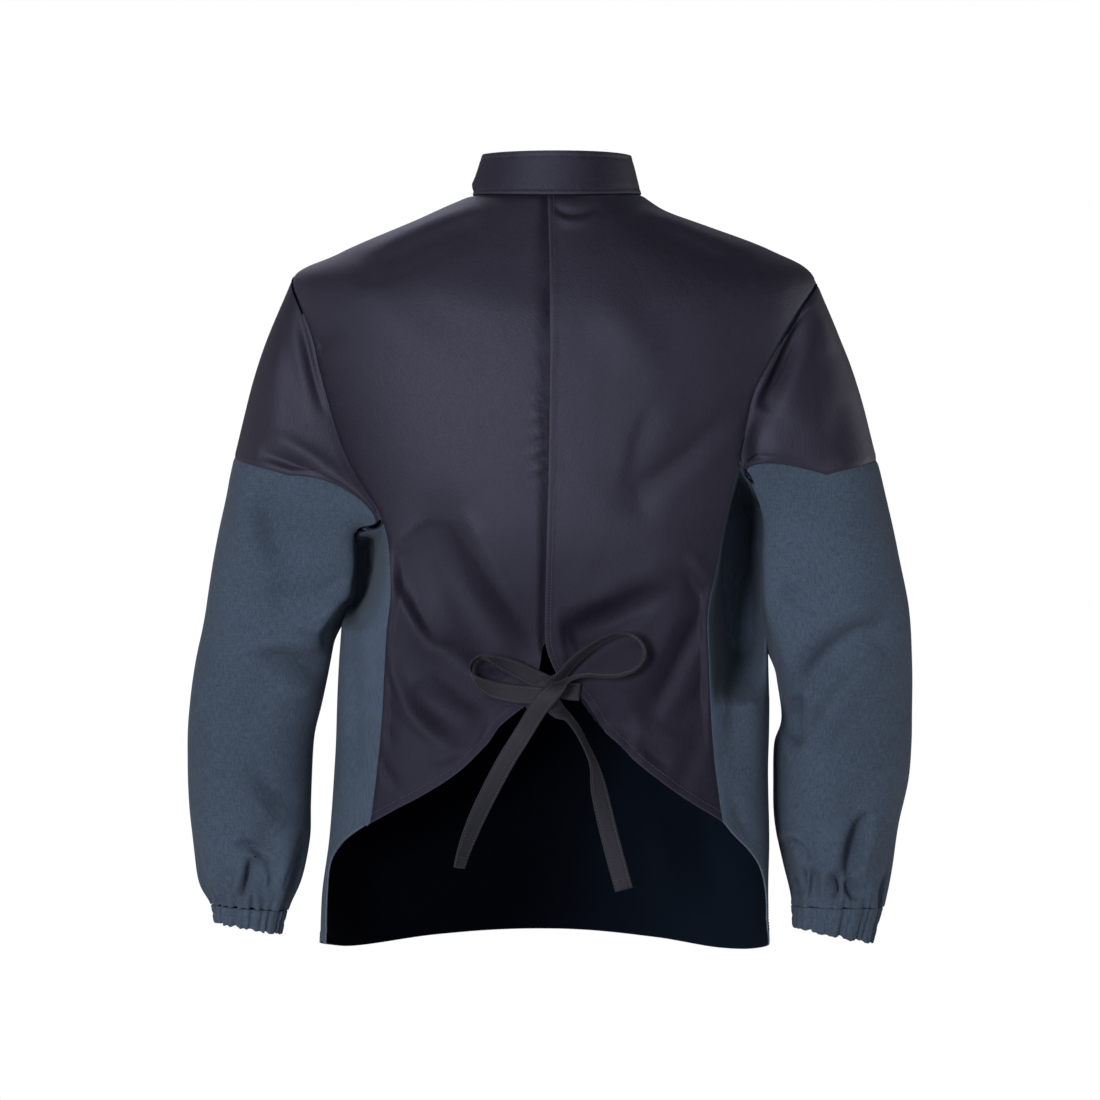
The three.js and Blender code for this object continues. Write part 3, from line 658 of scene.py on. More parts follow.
# The dark inner side of a cloth
def clothLining(name, dark, light, drift=0.0):
    look, f = liningLook, Finish(name)
    uv, place = f.clothPlace(), f.objectPlace()
    broad = f.noise(place, 7.0, 3.0)
    warp = f.threads(uv, 900, 60, 2.0, 0.6)
    weft = f.threads(uv, 80, 900, 2.0, 0.6)
    paler = f.eased(f.node("ShaderNodeSeparateXYZ", None, {0: place}), *look["drift"])
    return f.finished({"Base Color": f.mix(broad * 0.5 + warp * 0.3 + weft * 0.2 + paler * drift, dark, light),
                       "Roughness": look["roughness"] + (warp - 0.5) * 0.1,
                       "Normal": f.bump(look["bump"], look["bumpHeight"], warp + weft), **look["shader"]})


strapLook = {
    "dark": rgb(0.0055, 0.0052, 0.0095), "light": rgb(0.017, 0.016, 0.027),
    "roughness": 0.68, "bump": 0.4, "bumpHeight": 0.0004,
    "shader": {"Specular IOR Level": 0.3, "Sheen Weight": 0.06, "Sheen Roughness": 0.4},
}


def strapTwill():
    look, f = strapLook, Finish("strap_twill")
    uv = f.clothPlace()
    broad = f.threads(uv, 60, 25, 3.0)
    grain = f.threads(uv, 1600, 500)
    ribs = f.wave("DIAGONAL", f.scaled(uv, (700, 700, 1)), 0.3, 0.8)
    normal = f.bump(look["bump"], look["bumpHeight"], ribs * 0.5 + grain * 0.5)
    return f.finished({"Base Color": f.mix(broad * 0.5 + grain * 0.6, look["dark"], look["light"]),
                       "Roughness": look["roughness"] + (grain - 0.5) * 0.2, "Normal": normal, **look["shader"]})


threadLook = {"roughness": 0.55, "bump": 0.3, "bumpHeight": 0.0002, "shader": {"Specular IOR Level": 0.4}}


def sewingThread(name, dark, light):
    look, f = threadLook, Finish(name)
    uv, place = f.clothPlace(), f.objectPlace()
    twist = f.wave("DIAGONAL", f.scaled(uv, (2000, 2000, 1)), 0.4, 0.5)
    tone = f.noise(place, 160.0, 1.0)
    return f.finished({"Base Color": f.mix(twist * 0.5 + tone * 0.5, dark, light),
                       "Roughness": look["roughness"] + (tone - 0.5) * 0.2,
                       "Normal": f.bump(look["bump"], look["bumpHeight"], twist), **look["shader"]})


finishes = {
    "navy_satin": navySatin(),
    "blue_grey_cloth": blueGreyCloth(),
    "strap_twill": strapTwill(),
    "lining_navy_satin": clothLining("navy_lining", rgb(0.006, 0.006, 0.012), rgb(0.016, 0.016, 0.028)),
    # painted shade: the blue cloth's inner side is near black, standing in for the shade inside the coat, which holds
    # no body
    "lining_blue_grey_cloth": clothLining("blue_lining_painted_shade", rgb(0.0003, 0.0005, 0.002), rgb(0.0036, 0.0066, 0.0128), 1.0),
    "navyThread": sewingThread("navy_thread", rgb(0.030, 0.029, 0.048), rgb(0.085, 0.083, 0.115)),
    "blueThread": sewingThread("blue_thread", rgb(0.040, 0.055, 0.080), rgb(0.120, 0.150, 0.190)),
}
print("finishes made:", len(finishes))

stitchForm = {
    "pitch": 3.1, "length": 2.2, "radius": 0.34, "sides": 5, "raise": 0.12,
    "rings": 0.45, "draw": 0.6,  # where the two rings stand along a stitch, and how far they are drawn in
}


# Rows of small thread stitches that lie along lines on the cloth
def stitchPiece(name, runs, finish):
    form = stitchForm
    corners, half = form["sides"], form["length"] / 2
    ring = list(range(1, corners + 1))
    pairs = list(zip(ring, ring[1:] + ring[:1]))
    tip = 2 * corners + 1
    size = tip + 1
    template = [[0, b, a] for a, b in pairs] + [[a, b, b + corners, a + corners] for a, b in pairs]
    template += [[tip, a + corners, b + corners] for a, b in pairs]
    spots, faces, total = [], [], 0
    for line, lifts in runs:
        length = lengthsAlong(line)
        count = int(length[-1] / form["pitch"])
        if count < 1:
            continue
        at = (np.arange(count) + 0.5) * length[-1] / count
        middle, lift = readColumns(at, length, line), unit(readColumns(at, length, lifts))
        along = unit(readColumns(at + 1, length, line) - readColumns(at - 1, length, line))
        across = np.cross(along, lift)
        middle = middle + lift * form["raise"]
        stitch = [middle - along * half - lift * form["radius"]]
        for shift in (-form["rings"], form["rings"]):
            for angle in 2 * np.pi * np.arange(corners) / corners:
                out = across * math.cos(angle) + lift * math.sin(angle)
                stitch.append(middle + along * half * 2 * shift * form["draw"] + out * form["radius"])
        stitch.append(middle + along * half - lift * form["radius"])
        spots.append(np.stack(stitch, 1).reshape(-1, 3))
        for k in range(count):
            faces += [[corner + total + k * size for corner in face] for face in template]
        total += count * size
    spots = np.concatenate(spots)
    uvs = [spots[face][:, [0, 2]] * mm for face in faces]
    piece = newMesh(name, spots, faces, uvs, finish)
    print(f"{name}: {total // size} stitches")
    return piece


# The line on a grid that keeps a distance from one of its edges: axis 0 runs down, 1 across
def stitchLine(points, normals, gaps, distance, axis, fromEnd=False):
    if axis == 1:
        points, normals, gaps = points.swapaxes(0, 1), normals.swapaxes(0, 1), gaps.T
    if fromEnd:
        points, normals, gaps = points[::-1], normals[::-1], gaps[::-1]
    line, lifts = [], []
    for column in range(gaps.shape[1]):
        past = np.nonzero(gaps[:, column] >= distance)[0]
        if not len(past) or past[0] == 0:
            continue
        k = past[0]
        share = (distance - gaps[k - 1, column]) / max(gaps[k, column] - gaps[k - 1, column], 1e-6)
        line.append(points[k - 1, column] * (1 - share) + points[k, column] * share)
        lifts.append(normals[k, column])
    return np.array(line), np.array(lifts)


seamForm = {"tuck": 0.9, "reach": 3.2, "fadeFrom": 0.5, "fade": 9.0}


def seamTuck(gap):
    return -seamForm["tuck"] * bell(gap, seamForm["reach"])


def seamFade(gap):
    return smoothStep(gap, seamForm["fadeFrom"], seamForm["fade"])


hemForm = {  # places are measured from the inner edge of the band
    "rise": 0.7, "level": -0.6, "end": 1.2, "groove": 0.55, "grooveAt": -1.2, "grooveWidth": 1.1,
    "ripplePitch": 6.5, "rippleAt": -2, "rippleReach": 7, "rippleRow": 0.5, "rippleShift": 3,
}


# A turned and stitched hem: a raised band, a groove at the stitches and small puckers
def hemBand(gap, along, width, seed, pucker, form=hemForm):
    band = form["rise"] * (1 - smoothStep(gap, width + form["level"], width + form["end"]))
    groove = -form["groove"] * bell(gap - width - form["grooveAt"], form["grooveWidth"])
    ripple = softNoise(along / form["ripplePitch"] + form["rippleShift"], along * 0 + form["rippleRow"], seed)
    return band + groove + pucker * (ripple * bell(gap - width - form["rippleAt"], form["rippleReach"]))


backLook = {
    "wall": 1.6, "hemWidth": 8.5, "edgeWidth": 6.5, "relief": 1.7, "wrinkles": [0.9, 0.25],
    "rows": [[0, shoulderEnd, 40, 3], [shoulderEnd, armholeEnd, 56], [armholeEnd, seamEnd, 72, 0, 4]],
    "columns": [0, 1, 62, 4, 4], "hemPucker": [31, 0.5], "edgePucker": [32, 0.25],  # seed and height
    "underlap": 4.8, "underlapRamp": 8, "underlapMargin": 1,
    "left": {
        "seed": 11, "flat": (0.30, 0.64), "area": 0.144,
        "crests": [
            [-107, -314, -60, -380, -8, -456, 24, 38, 76, -1], [-166, -358, -145, -410, -118, -460, 10, 14, 28, 1],
            [-171, -461, -156, -497, -141, -524, 6, 9, 18, -1], [-117, -471, -90, -495, -56, -514, 11, 20, 42, -1],
        ],
        "creases": [
            [-58, -16, -117, -34, -185, -66, 9, 2.4, 0], [-68, -36, -127, -58, -195, -90, 12, -2.0, 0],
            [-190, -96, -150, -140, -96, -168, 26, 1.1, 0], [-170, -90, -120, -120, -70, -150, 24, -1.1, 0],
            [-236, -160, -220, -149, -203, -139, 5, -2.4, 0.2], [-104, -326, -92, -376, -62, -428, 20, -3.0, -0.3],
            [-88, -314, -54, -366, -18, -435, 11, 2.2, -0.3], [-158, -372, -141, -405, -116, -449, 7, -2.8, 0.35],
            [-66, -340, -40, -380, -12, -428, 9, -0.9, 0], [-115, -449, -78, -473, -49, -500, 12, 1.9, 0],
            [-151, -466, -122, -505, -93, -520, 13, -1.8, 0], [-161, -451, -141, -512, -93, -551, 8, 2.2, 0.2],
            [-168, -466, -158, -491, -144, -512, 5, -2.0, 0.2], [-170, -521, -161, -535, -151, -544, 5, -1.8, 0],
            [-172, -557, -163, -573, -149, -590, 5, -2.0, 0.2], [-120, -560, -100, -556, -82, -545, 7, 1.4, 0],
        ],
        "pucker": {"depth": 2.8, "pitch": 17, "slant": 0.6, "middle": -9, "width": 6.0,
                   "zone": [185, 205, 275, 295]},
    },
    "right": {
        "seed": 21, "flat": (0.28, 0.64), "area": 0.125,
        "crests": [
            [6, -411, 61, -397, 150, -366, 13, 28, 56, -1], [160, -424, 133, -475, 102, -526, 11, 16, 34, 1],
            [141, -364, 150, -385, 159, -407, 4, 8, 16, -1], [38, -495, 63, -512, 92, -526, 8, 12, 26, -1],
        ],
        "creases": [
            [86, -14, 137, -38, 205, -63, 8, 2.2, 0], [92, -32, 140, -56, 205, -84, 11, -1.6, 0],
            [2, -15, 22, -24, 50, -15, 4, -1.8, 0.2], [4, -23, 22, -32, 48, -23, 5, 1.2, 0],
            [46, -117, 78, -144, 93, -188, 22, 1.6, 0], [192, -201, 137, -256, 79, -298, 12, -1.8, 0.3],
            [195, -224, 146, -272, 88, -312, 13, 1.6, 0], [100, -214, 84, -256, 78, -296, 11, -1.5, 0.3],
            [-4, -435, 49, -405, 140, -350, 13, 2.0, 0], [20, -443, 72, -420, 130, -386, 11, -1.8, 0.2],
            [160, -405, 146, -391, 135, -376, 6, -2.2, 0.2], [158, -388, 147, -372, 136, -356, 7, 1.6, 0],
            [153, -413, 132, -452, 103, -509, 9, -2.0, 0.3], [139, -405, 115, -446, 88, -488, 11, 2.0, 0],
            [161, -450, 139, -490, 108, -518, 8, 1.8, 0], [38, -489, 63, -512, 84, -528, 8, -2.2, 0],
            [87, -540, 102, -554, 120, -567, 6, -2.0, 0], [150, -520, 140, -560, 118, -590, 10, -1.6, 0],
        ],
        "curl": {"seed": 33, "height": 2.2, "wave": 10, "reach": 11, "zone": [12, 27, 85, 110]},  # along the hem
    },
}


def backPanel(side):
    form, own, isLeft = backLook, backLook[side], side == "left"
    index, across = joinedSteps(*form["rows"]), steps(*form["columns"])
    outer = sideEdge(side, index)
    centre = centreSpot(side, outer)
    hem = onBack(spacedLine(coatForm["hems"][side], 1 - across if isLeft else across))
    start, end = (outer, centre) if isLeft else (centre, outer)
    spots = patch(spread(start[0], end[0], across), hem, start, end, across, index / seamEnd)
    points = bodyPoint(spots)
    if isLeft:
        lap = centreRows("right")
        lapX = readTable(lap, np.minimum(spots[..., 1], lap[-1, 0]))[..., 1]
        under = smoothStep(points[..., 0], lapX - form["underlapRamp"], lapX - form["underlapMargin"])
        points[..., 1] += form["underlap"] * under
    normals = bodyNormals(spots)
    seamColumn, freeColumn = (0, -1) if isLeft else (-1, 0)
    seamGap, _ = nearLine(points, points[:, seamColumn])
    neckGap, _ = nearLine(points, points[0])
    hemGap, hemAlong = nearLine(points, points[-1])
    edgeGap, edgeAlong = nearLine(points, points[:, freeColumn])
    x, z = points[..., 0], points[..., 2]
    lift = creaseLift(x, z, own["creases"], form["relief"]) + crestFall(x, z, own["crests"])
    lift += wrinkles(points, own["seed"], *form["wrinkles"])
    lift = lift * seamFade(seamGap) * seamFade(neckGap)
    lift += seamTuck(seamGap) + seamTuck(neckGap)
    if isLeft:
        pucker = own["pucker"]
        wave = np.sin(2 * np.pi * (z - pucker["slant"] * x) / pucker["pitch"])
        lift += pucker["depth"] * zoneBetween(-z, *pucker["zone"]) * wave * bell(x - pucker["middle"], pucker["width"])
    lift += hemBand(hemGap, hemAlong, form["hemWidth"], *form["hemPucker"])
    if not isLeft:
        lift += hemBand(edgeGap, edgeAlong, form["edgeWidth"], *form["edgePucker"])
        curl = own["curl"]
        wave = softNoise(hemAlong / curl["wave"], hemAlong * 0, curl["seed"])
        lift += zoneBetween(hemAlong, *curl["zone"]) * curl["height"] * wave * bell(hemGap, curl["reach"])
    points = points + normals * lift[..., None]
    normals = gridNormals(points)
    name = f"back_panel_{side}"
    grid = {"points": points, "uv": clothUv(points), "hem": np.minimum(hemGap, edgeGap)}
    piece = clothPiece("cloth_" + name, [grid], form["wall"], name, "navy_satin")
    runs = [stitchLine(points, normals, hemGap, form["hemWidth"] + hemForm["grooveAt"], 0, True)]
    if not isLeft:
        runs.append(stitchLine(points, normals, edgeGap, form["edgeWidth"] + hemForm["grooveAt"], 1))
    stitches = stitchPiece(f"stitches_{name}", runs, finishes["navyThread"])


for side in sides:
    backPanel(side)

frontLook = {
    "hollows": [  # under the arms: start, middle and end places, width and y of the floor
        [-178, -312, -188, -372, -199, -432, 14, 25], [186, -258, 190, -380, 196, -505, 25, 50],
    ],
    "hollowEdge": 9, "hollowFull": 1.5, "hollowDepth": 0.92,
    "wall": 1.6, "hemWidth": 10.5, "hemPucker": [42, 0.4], "wrinkles": [41, 1.2, 0.3],
    "cutWidth": 4.6, "cutRise": 0.6, "cutEase": 2, "cutInner": 14, "stitchSink": 0.2,
    "chestRows": [[0, shoulderEnd, 36, 3], [shoulderEnd, armholeEnd, 60]], "chestColumns": [0, 1, 84],
    "chestSpan": 14, "chestEase": 0.3, "sideColumns": [0, seamStep, 40, 4],
    "skirtRows": [[0, seamSpan, 74], [seamSpan, skirtSpan, 38, 0, 4]],
    "rowRise": 14, "riseFrom": 3, "riseSpan": 6, "rowReach": 0.06,
    "evened": 60, "evenedRows": [3.6, 4.6, 7, 9], "evenedEdge": [0.01, 0.04],
    "flat": (0.90, 0.78), "area": 0.486,
    "creases": [  # on the front
        [-150, -215, -120, -262, -60, -300, 14, 2.6, 0], [-160, -240, -128, -290, -70, -330, 14, -2.8, 0.2],
        [150, -215, 118, -260, 64, -296, 14, 2.4, 0], [158, -240, 126, -288, 74, -326, 14, -2.6, 0.2],
        [-120, -330, -130, -480, -118, -640, 26, 3.2, 0], [-60, -380, -70, -520, -62, -700, 24, -3.2, 0],
        [10, -360, 4, -520, 12, -700, 28, 2.6, 0], [72, -380, 80, -520, 76, -700, 24, -3.4, 0],
        [130, -340, 138, -480, 128, -650, 24, 3.0, 0], [-180, -420, -176, -540, -184, -680, 16, -2.4, 0],
        [186, -420, 180, -540, 186, -680, 16, -2.4, 0], [-40, -80, 0, -98, 44, -80, 12, -1.8, 0],
        [-90, -96, -130, -110, -180, -120, 12, 1.8, 0], [92, -96, 132, -110, 182, -120, 12, 1.8, 0],
    ],
    "sideCreases": [  # on the sides, seen from behind
        [-190, -395, -180, -440, -178, -500, 9, 1.6, 0], [-205, -430, -196, -520, -198, -610, 10, -1.8, 0],
        [176, -420, 184, -480, 178, -560, 9, -2.2, 0], [198, -400, 205, -500, 200, -600, 12, 1.8, 0],
        [205, -330, 196, -380, 186, -440, 10, -2.6, 0.2], [180, -590, 190, -620, 204, -640, 7, -1.4, 0],
    ],
}


def frontPanel():
    form = frontLook
    index, chestCells = joinedSteps(*form["chestRows"]), steps(*form["chestColumns"])
    right, left = (throughFront(upperEdge(side, index, True)) for side in ("right", "left"))
    chest = patch(spread(right[0], left[0], chestCells), spread(right[-1], left[-1], chestCells),
                  right, left, chestCells, index / armholeEnd)
    even = spread(right[0], right[-1], lengthShare(bodyPoint(right)))[:, 1]
    ease = smoothStep(np.minimum(chestCells, 1 - chestCells), 0, form["chestEase"])
    chest[..., 1] += (even - right[:, 1])[:, None] * ease
    sideSteps = steps(*form["sideColumns"])[:-1]
    topRight = armholeSpot("right", seamStep + sideSteps)
    topLeft = throughFront(armholeSpot("left", seamStep + sideSteps))[::-1]
    top = np.concatenate([topRight, chest[-1], topLeft])
    whole = 2 * seamStep + form["chestSpan"]
    across = np.concatenate([sideSteps, seamStep + form["chestSpan"] * chestCells, (whole - sideSteps)[::-1]]) / whole
    down = joinedSteps(*form["skirtRows"])
    rightEdge, leftEdge = (throughFront(skirtEdge(side, down)) for side in ("right", "left"))
    toEdge = np.minimum(across, 1 - across)
    inside = smoothStep(toEdge, 0, form["rowReach"])
    hem = spread(rightEdge[-1], leftEdge[-1], across)
    hem[:, 1] += (readTable(coatForm["frontHem"], hem[:, 0])[:, 1] - hem[:, 1]) * inside
    skirt = patch(top, hem, rightEdge, leftEdge, across, down / skirtSpan)
    rise = np.sin(np.pi * np.clip((down - form["riseFrom"]) / form["riseSpan"], 0, 1))
    skirt[..., 1] -= form["rowRise"] * rise[:, None] ** 2 * inside
    loose = zoneBetween(down, *form["evenedRows"])[1:-1, None] * smoothStep(toEdge, *form["evenedEdge"])[1:-1]
    for _ in range(form["evened"]):
        around = (skirt[:-2, 1:-1] + skirt[2:, 1:-1] + skirt[1:-1, :-2] + skirt[1:-1, 2:]) / 4
        skirt[1:-1, 1:-1] += (around - skirt[1:-1, 1:-1]) * loose[..., None]

    grids = [bodyPoint(chest), bodyPoint(skirt)]
    normals = [bodyNormals(chest), bodyNormals(skirt)]
    first = len(sideSteps)
    shared = slice(first, first + len(chestCells))
    normals[0][-1] = normals[1][0, shared] = unit(normals[0][-1] + normals[1][0, shared])
    sewnRight = np.concatenate([grids[0][::-1, 0], grids[1][0, :first][::-1]])
    sewnLeft = np.concatenate([grids[0][::-1, -1], grids[1][0, first + len(chestCells):]])
    seamRows = down <= seamSpan
    seams = [sewnRight, sewnLeft, grids[1][seamRows, 0], grids[1][seamRows, -1], grids[0][0]]
    cuts = [grids[1][~seamRows, 0], grids[1][~seamRows, -1], grids[1][-1]]
    made = []
    for points, normal in zip(grids, normals):
        x, y, z = points[..., 0], points[..., 1], points[..., 2]
        ahead = np.clip(normal[..., 1], 0, 1)
        lift = creaseLift(x, z, form["creases"]) * ahead + wrinkles(points, *form["wrinkles"])
        lift += creaseLift(x, z, form["sideCreases"]) * np.clip(1 - ahead * 2, 0, 1)
        seamGaps = [nearLine(points, seam)[0] for seam in seams]
        seamGap = np.min(seamGaps, 0)
        for gap in seamGaps:
            lift = lift * seamFade(gap)
        lift += sum(seamTuck(gap) for gap in seamGaps)
        *cutGaps, hemGap = (nearLine(points, cut)[0] for cut in cuts)
        cutGap = np.minimum(*cutGaps)
        lift += hemBand(hemGap, x, form["hemWidth"], *form["hemPucker"])
        cutFrom, cutTo = form["cutWidth"] - form["cutEase"], form["cutWidth"] + form["cutEase"]
        lift += form["cutRise"] * (1 - smoothStep(cutGap, cutFrom, cutTo))
        moved = points + normal * lift[..., None]
        for row in form["hollows"]:
            gap, taper, _ = nearCurve(x, z, row)
            width, floor = row[6:8]
            share = np.minimum(form["hollowFull"] * taper * bell(gap, width), 1)
            share = share * smoothStep(seamGap, 0, form["hollowEdge"])
            moved[..., 1] += form["hollowDepth"] * share * np.maximum(floor - y, 0)
        made.append({"points": moved, "hem": np.minimum(cutGap, hemGap), "hemGap": hemGap})
    made[0]["points"][-1] = made[1]["points"][0, shared]
    for grid in made:
        grid["uv"] = clothUv(grid["points"])
    made[0]["uv"][..., 1] -= made[0]["uv"][-1:, :, 1]
    piece = clothPiece("cloth_front_panel", made, form["wall"], "front_panel", "blue_grey_cloth")
    moved, lifts = made[1]["points"], normals[1]
    runs = [stitchLine(moved, lifts, made[1]["hemGap"], form["hemWidth"] + hemForm["grooveAt"], 0, True)]
    lower = np.nonzero(~seamRows)[0][0]
    for column, inner in ((0, form["cutInner"]), (-1, -1 - form["cutInner"])):
        edge, lift = moved[lower:, column], lifts[lower:, column]
        inward = np.cross(lift, unit(np.gradient(edge, axis=0)))
        inward = inward * np.sign((inward * (moved[lower:, inner] - edge)).sum())
        runs.append((edge + inward * form["cutWidth"] - lift * form["stitchSink"], lift))
    stitches = stitchPiece("stitches_front_panel", runs, finishes["blueThread"])


frontPanel()

cuffForm = {
    "wall": 3.0, "gap": 0.7, "columns": 240, "rows": 15, "seed": {"left": 81, "right": 82},
    "grooves": 25, "grooveWidth": 0.27, "grooveShift": 0.34, "grooveLeast": 0.35, "ridge": 0.4,
    "top": 3.2, "bottom": 4.4, "scallop": 2.6, "frills": 78, "frill": 0.8, "frillDrop": 1.1,
    "waist": 0.9, "waistAt": 0.5, "waistWidth": 0.09,  # where the elastic is stitched
    "flat": {"left": (0.30, 0.022), "right": (0.33, 0.030)},
    "ends": {"left": [-338, -728, -272, -740, 46, 34, 0, 0, 0], "right": [325, -749, 245, -733, 46, 38, 0, 0, 0]},
}

# Sleeve sections: outer x and z, inner x and z, middle y, half depth, back lift, back draw, gather
sleeveForm = {
    "wall": 1.6, "columns": 128, "capCells": 52, "sectionCells": 12, "fineCells": 3,
    "square": 2.2, "capBulge": {"left": 6, "right": 5}, "seamPull": 0.85, "foldEase": 0.5,
    "upperRelief": 1.5, "lowerRelief": 3.8, "facing": 1.4, "wrinkles": [1.0, 0.3], "seed": {"left": 51, "right": 61},
    "innerTuck": 0.5, "endFade": 4, "gathers": 8, "puff": 1.0, "grooveDepth": 6.2, "grooveReach": [8, 20],
    # where the side draws in towards the body: width, then drops where it starts, is full, eases and ends
    "touch": {"left": [9.5, 285, 325, 405, 450], "right": [10.5, 270, 310, 435, 480]}, "touchBack": [-0.5, 0.1],
    "sections": {
        "left": [
            [-316, -261, -202, -348, 5, 74, 24, 28, 0], [-325, -304, -202, -364, 8, 71, 14, 44, 0],
            [-337, -364, -204, -396, 12, 68, 6, 44, 0], [-347, -424, -214, -434, 18, 65, 0, 14, 0],
            [-356, -466, -222, -475, 23, 63, -3, 0, 0], [-362, -506, -229, -508, 28, 62, -4, 0, 0],
            [-365, -548, -238, -547, 32, 61, -4, 0, 0], [-363, -607, -241, -605, 36, 59, -4, 0, 0],
            [-358, -648, -243, -646, 39, 56, -3, 0, 1], [-350, -688, -254, -686, 42, 48, -2, 0, 4],
            [-341, -711, -266, -717, 44, 36, 0, 0, 1.5],
        ],
        "right": [
            [327, -264, 220, -318, 5, 74, 11, 24, 0], [337, -304, 220, -338, 8, 71, 7, 44, 0],
            [350, -364, 220.5, -372, 12, 69, 4, 47, 0], [360, -414, 221.5, -416, 17, 67, 0, 46, 0],
            [363, -465, 224, -463, 22, 65, -2, 22, 0], [363, -516, 233, -520, 27, 63, -3, 0, 0],
            [363, -547, 226, -549, 31, 62, -3, 0, 0], [360, -588, 225, -588, 34, 60, -3, 0, 0],
            [351, -629, 226, -629, 38, 57, -3, 0, 0], [343, -669, 236, -669, 41, 52, -2, 0, 2],
            [337, -693, 244, -693, 43, 47, 0, 0, 4], [335, -714, 244, -712, 44, 42, 0, 0, 1.5],
        ],
    },
    "upper": {
        "left": {"flat": (0.46, 0.26), "area": 0.0505, "creases": [
            [-249, -105, -236, -165, -221, -220, 5, -3.0, 0], [-257, -118, -246, -174, -233, -228, 7, 1.6, 0],
            [-264, -136, -269, -195, -263, -248, 12, 1.6, 0], [-288, -258, -253, -270, -214, -290, 6, -3.6, 0],
            [-282, -240, -245, -256, -206, -284, 8, 2.6, 0],
        ]},
        "right": {"flat": (0.44, 0.24), "area": 0.052, "creases": [
            [249, -110, 226, -155, 208, -196, 5, 2.0, 0], [252, -118, 229, -170, 208, -216, 9, -11.0, 0.25],
            [262, -92, 270, -126, 279, -160, 8, 2.0, 0], [209, -228, 205, -260, 211, -288, 9, -4.0, 0],
            [210, -264, 223, -283, 240, -289, 7, 2.6, 0], [290, -200, 284, -240, 270, -275, 16, -1.6, 0],
        ]},
    },
    "lower": {
        "left": {"flat": (0.42, 0.47), "area": 0.179, "creases": [
            [-300, -276, -298, -340, -270, -396, 16, 2.2, 0], [-280, -284, -273, -334, -248, -384, 13, -1.8, 0],
            [-192, -388, -218, -407, -231, -437, 7, 3.2, 0], [-194, -404, -214, -424, -224, -456, 8, -4.0, 0.2],
            [-215, -480, -248, -467, -288, -457, 9, -3.4, 0.2], [-216, -453, -258, -443, -304, -452, 10, 1.9, 0],
            [-218, -494, -258, -494, -300, -504, 13, 1.6, 0], [-312, -580, -290, -610, -267, -633, 9, 2.0, 0],
            [-300, -560, -276, -590, -252, -606, 9, -1.4, 0], [-315, -654, -300, -649, -286, -662, 4, -2.8, 0.2],
            [-310, -660, -298, -657, -284, -670, 4.5, 1.7, 0], [-296, -660, -300, -682, -306, -703, 4.5, -3.8, 0],
            [-306, -662, -310, -684, -316, -702, 5, 1.8, 0], [-243, -637, -251, -669, -264, -697, 5, -2.8, 0],
            [-285, -668, -284, -688, -280, -706, 5, 1.6, 0],
        ]},
        "right": {"flat": (0.42, 0.47), "area": 0.189, "creases": [
            [231, -389, 243, -401, 257, -411, 7, -2.0, 0], [338, -427, 283, -452, 246, -505, 12, -3.7, 0.1],
            [249, -500, 238, -527, 250, -549, 7, -6.0, 0], [326, -406, 266, -428, 226, -482, 15, 1.7, 0],
            [329, -453, 293, -492, 262, -549, 12, 2.6, 0], [286, -467, 291, -475, 297, -484, 4, -1.4, 0],
            [226, -646, 248, -637, 261, -661, 6, 2.6, 0], [230, -655, 248, -649, 255, -674, 5, -2.6, 0],
            [321, -616, 303, -643, 300, -684, 7, -3.6, 0.25], [299, -620, 286, -651, 283, -688, 9, 2.2, 0],
            [329, -628, 316, -660, 313, -694, 8, 2.0, 0], [251, -671, 252, -686, 248, -700, 4, -3.2, 0],
            [261, -672, 264, -688, 261, -703, 4, -2.8, 0], [281, -674, 287, -691, 282, -710, 5, -4.2, 0],
            [300, -682, 303, -694, 309, -704, 5, -2.6, 0], [271, -672, 274, -690, 271, -706, 4, 1.6, 0],
        ]},
    },
    "frontCreases": {  # on the front of the sleeves: those of both, written for the right, and each side's own
        "both": [[330, -380, 290, -420, 236, -440, 12, -3.4, 0.2], [334, -400, 292, -442, 238, -462, 12, 3.0, 0],
                 [250, -330, 278, -380, 318, -410, 12, 2.4, 0], [262, -480, 300, -520, 340, -530, 14, -2.4, 0]],
        "left": [[-270, -560, -300, -620, -310, -680, 12, -3.0, 0], [-330, -560, -326, -620, -322, -690, 12, 2.4, 0]],
        "right": [[270, -560, 296, -620, 300, -680, 12, -3.0, 0], [328, -560, 320, -620, 316, -690, 12, 2.4, 0]],
    },
}


# Crease rows of the right side, turned to the side of hand
def mirroredRows(rows, hand):
    return [[hand * value if k in (0, 2, 4) else value for k, value in enumerate(row)] for row in rows]


def closedLine(line):
    return np.concatenate([line, line[:1]])


def sleeveWays(shares):
    power = 2 / sleeveForm["square"]
    outward = signedPower(np.cos(2 * np.pi * shares), power)
    backward = signedPower(np.sin(2 * np.pi * shares), power)
    return outward, backward, 2 * np.maximum(backward, 0) * np.maximum(-outward, 0)


def sectionPoints(section, shares, swell=0.0):
    outX, outZ, inX, inZ, yMid, halfDepth, backLift, backDraw, _ = section
    outward, backward, innerBack = sleeveWays(shares)
    middle = np.array([(outX + inX) / 2, yMid, (outZ + inZ) / 2])
    points = np.stack([
        (outX - middle[0]) * outward - np.sign(middle[0]) * backDraw * innerBack * backward ** 2,
        -halfDepth * backward,
        (outZ - middle[2]) * outward + backLift * np.maximum(backward, 0) * (1 - outward),
    ], -1)
    return points + unit(points) * np.reshape(swell, (-1, 1)) + middle


def pleat(shares, pleats):
    return np.cos(2 * np.pi * pleats * shares)


def tubeGrid(points, mirrored):
    return {"points": points, "uv": clothUv(points, True), "closed": True, "mirrored": mirrored}


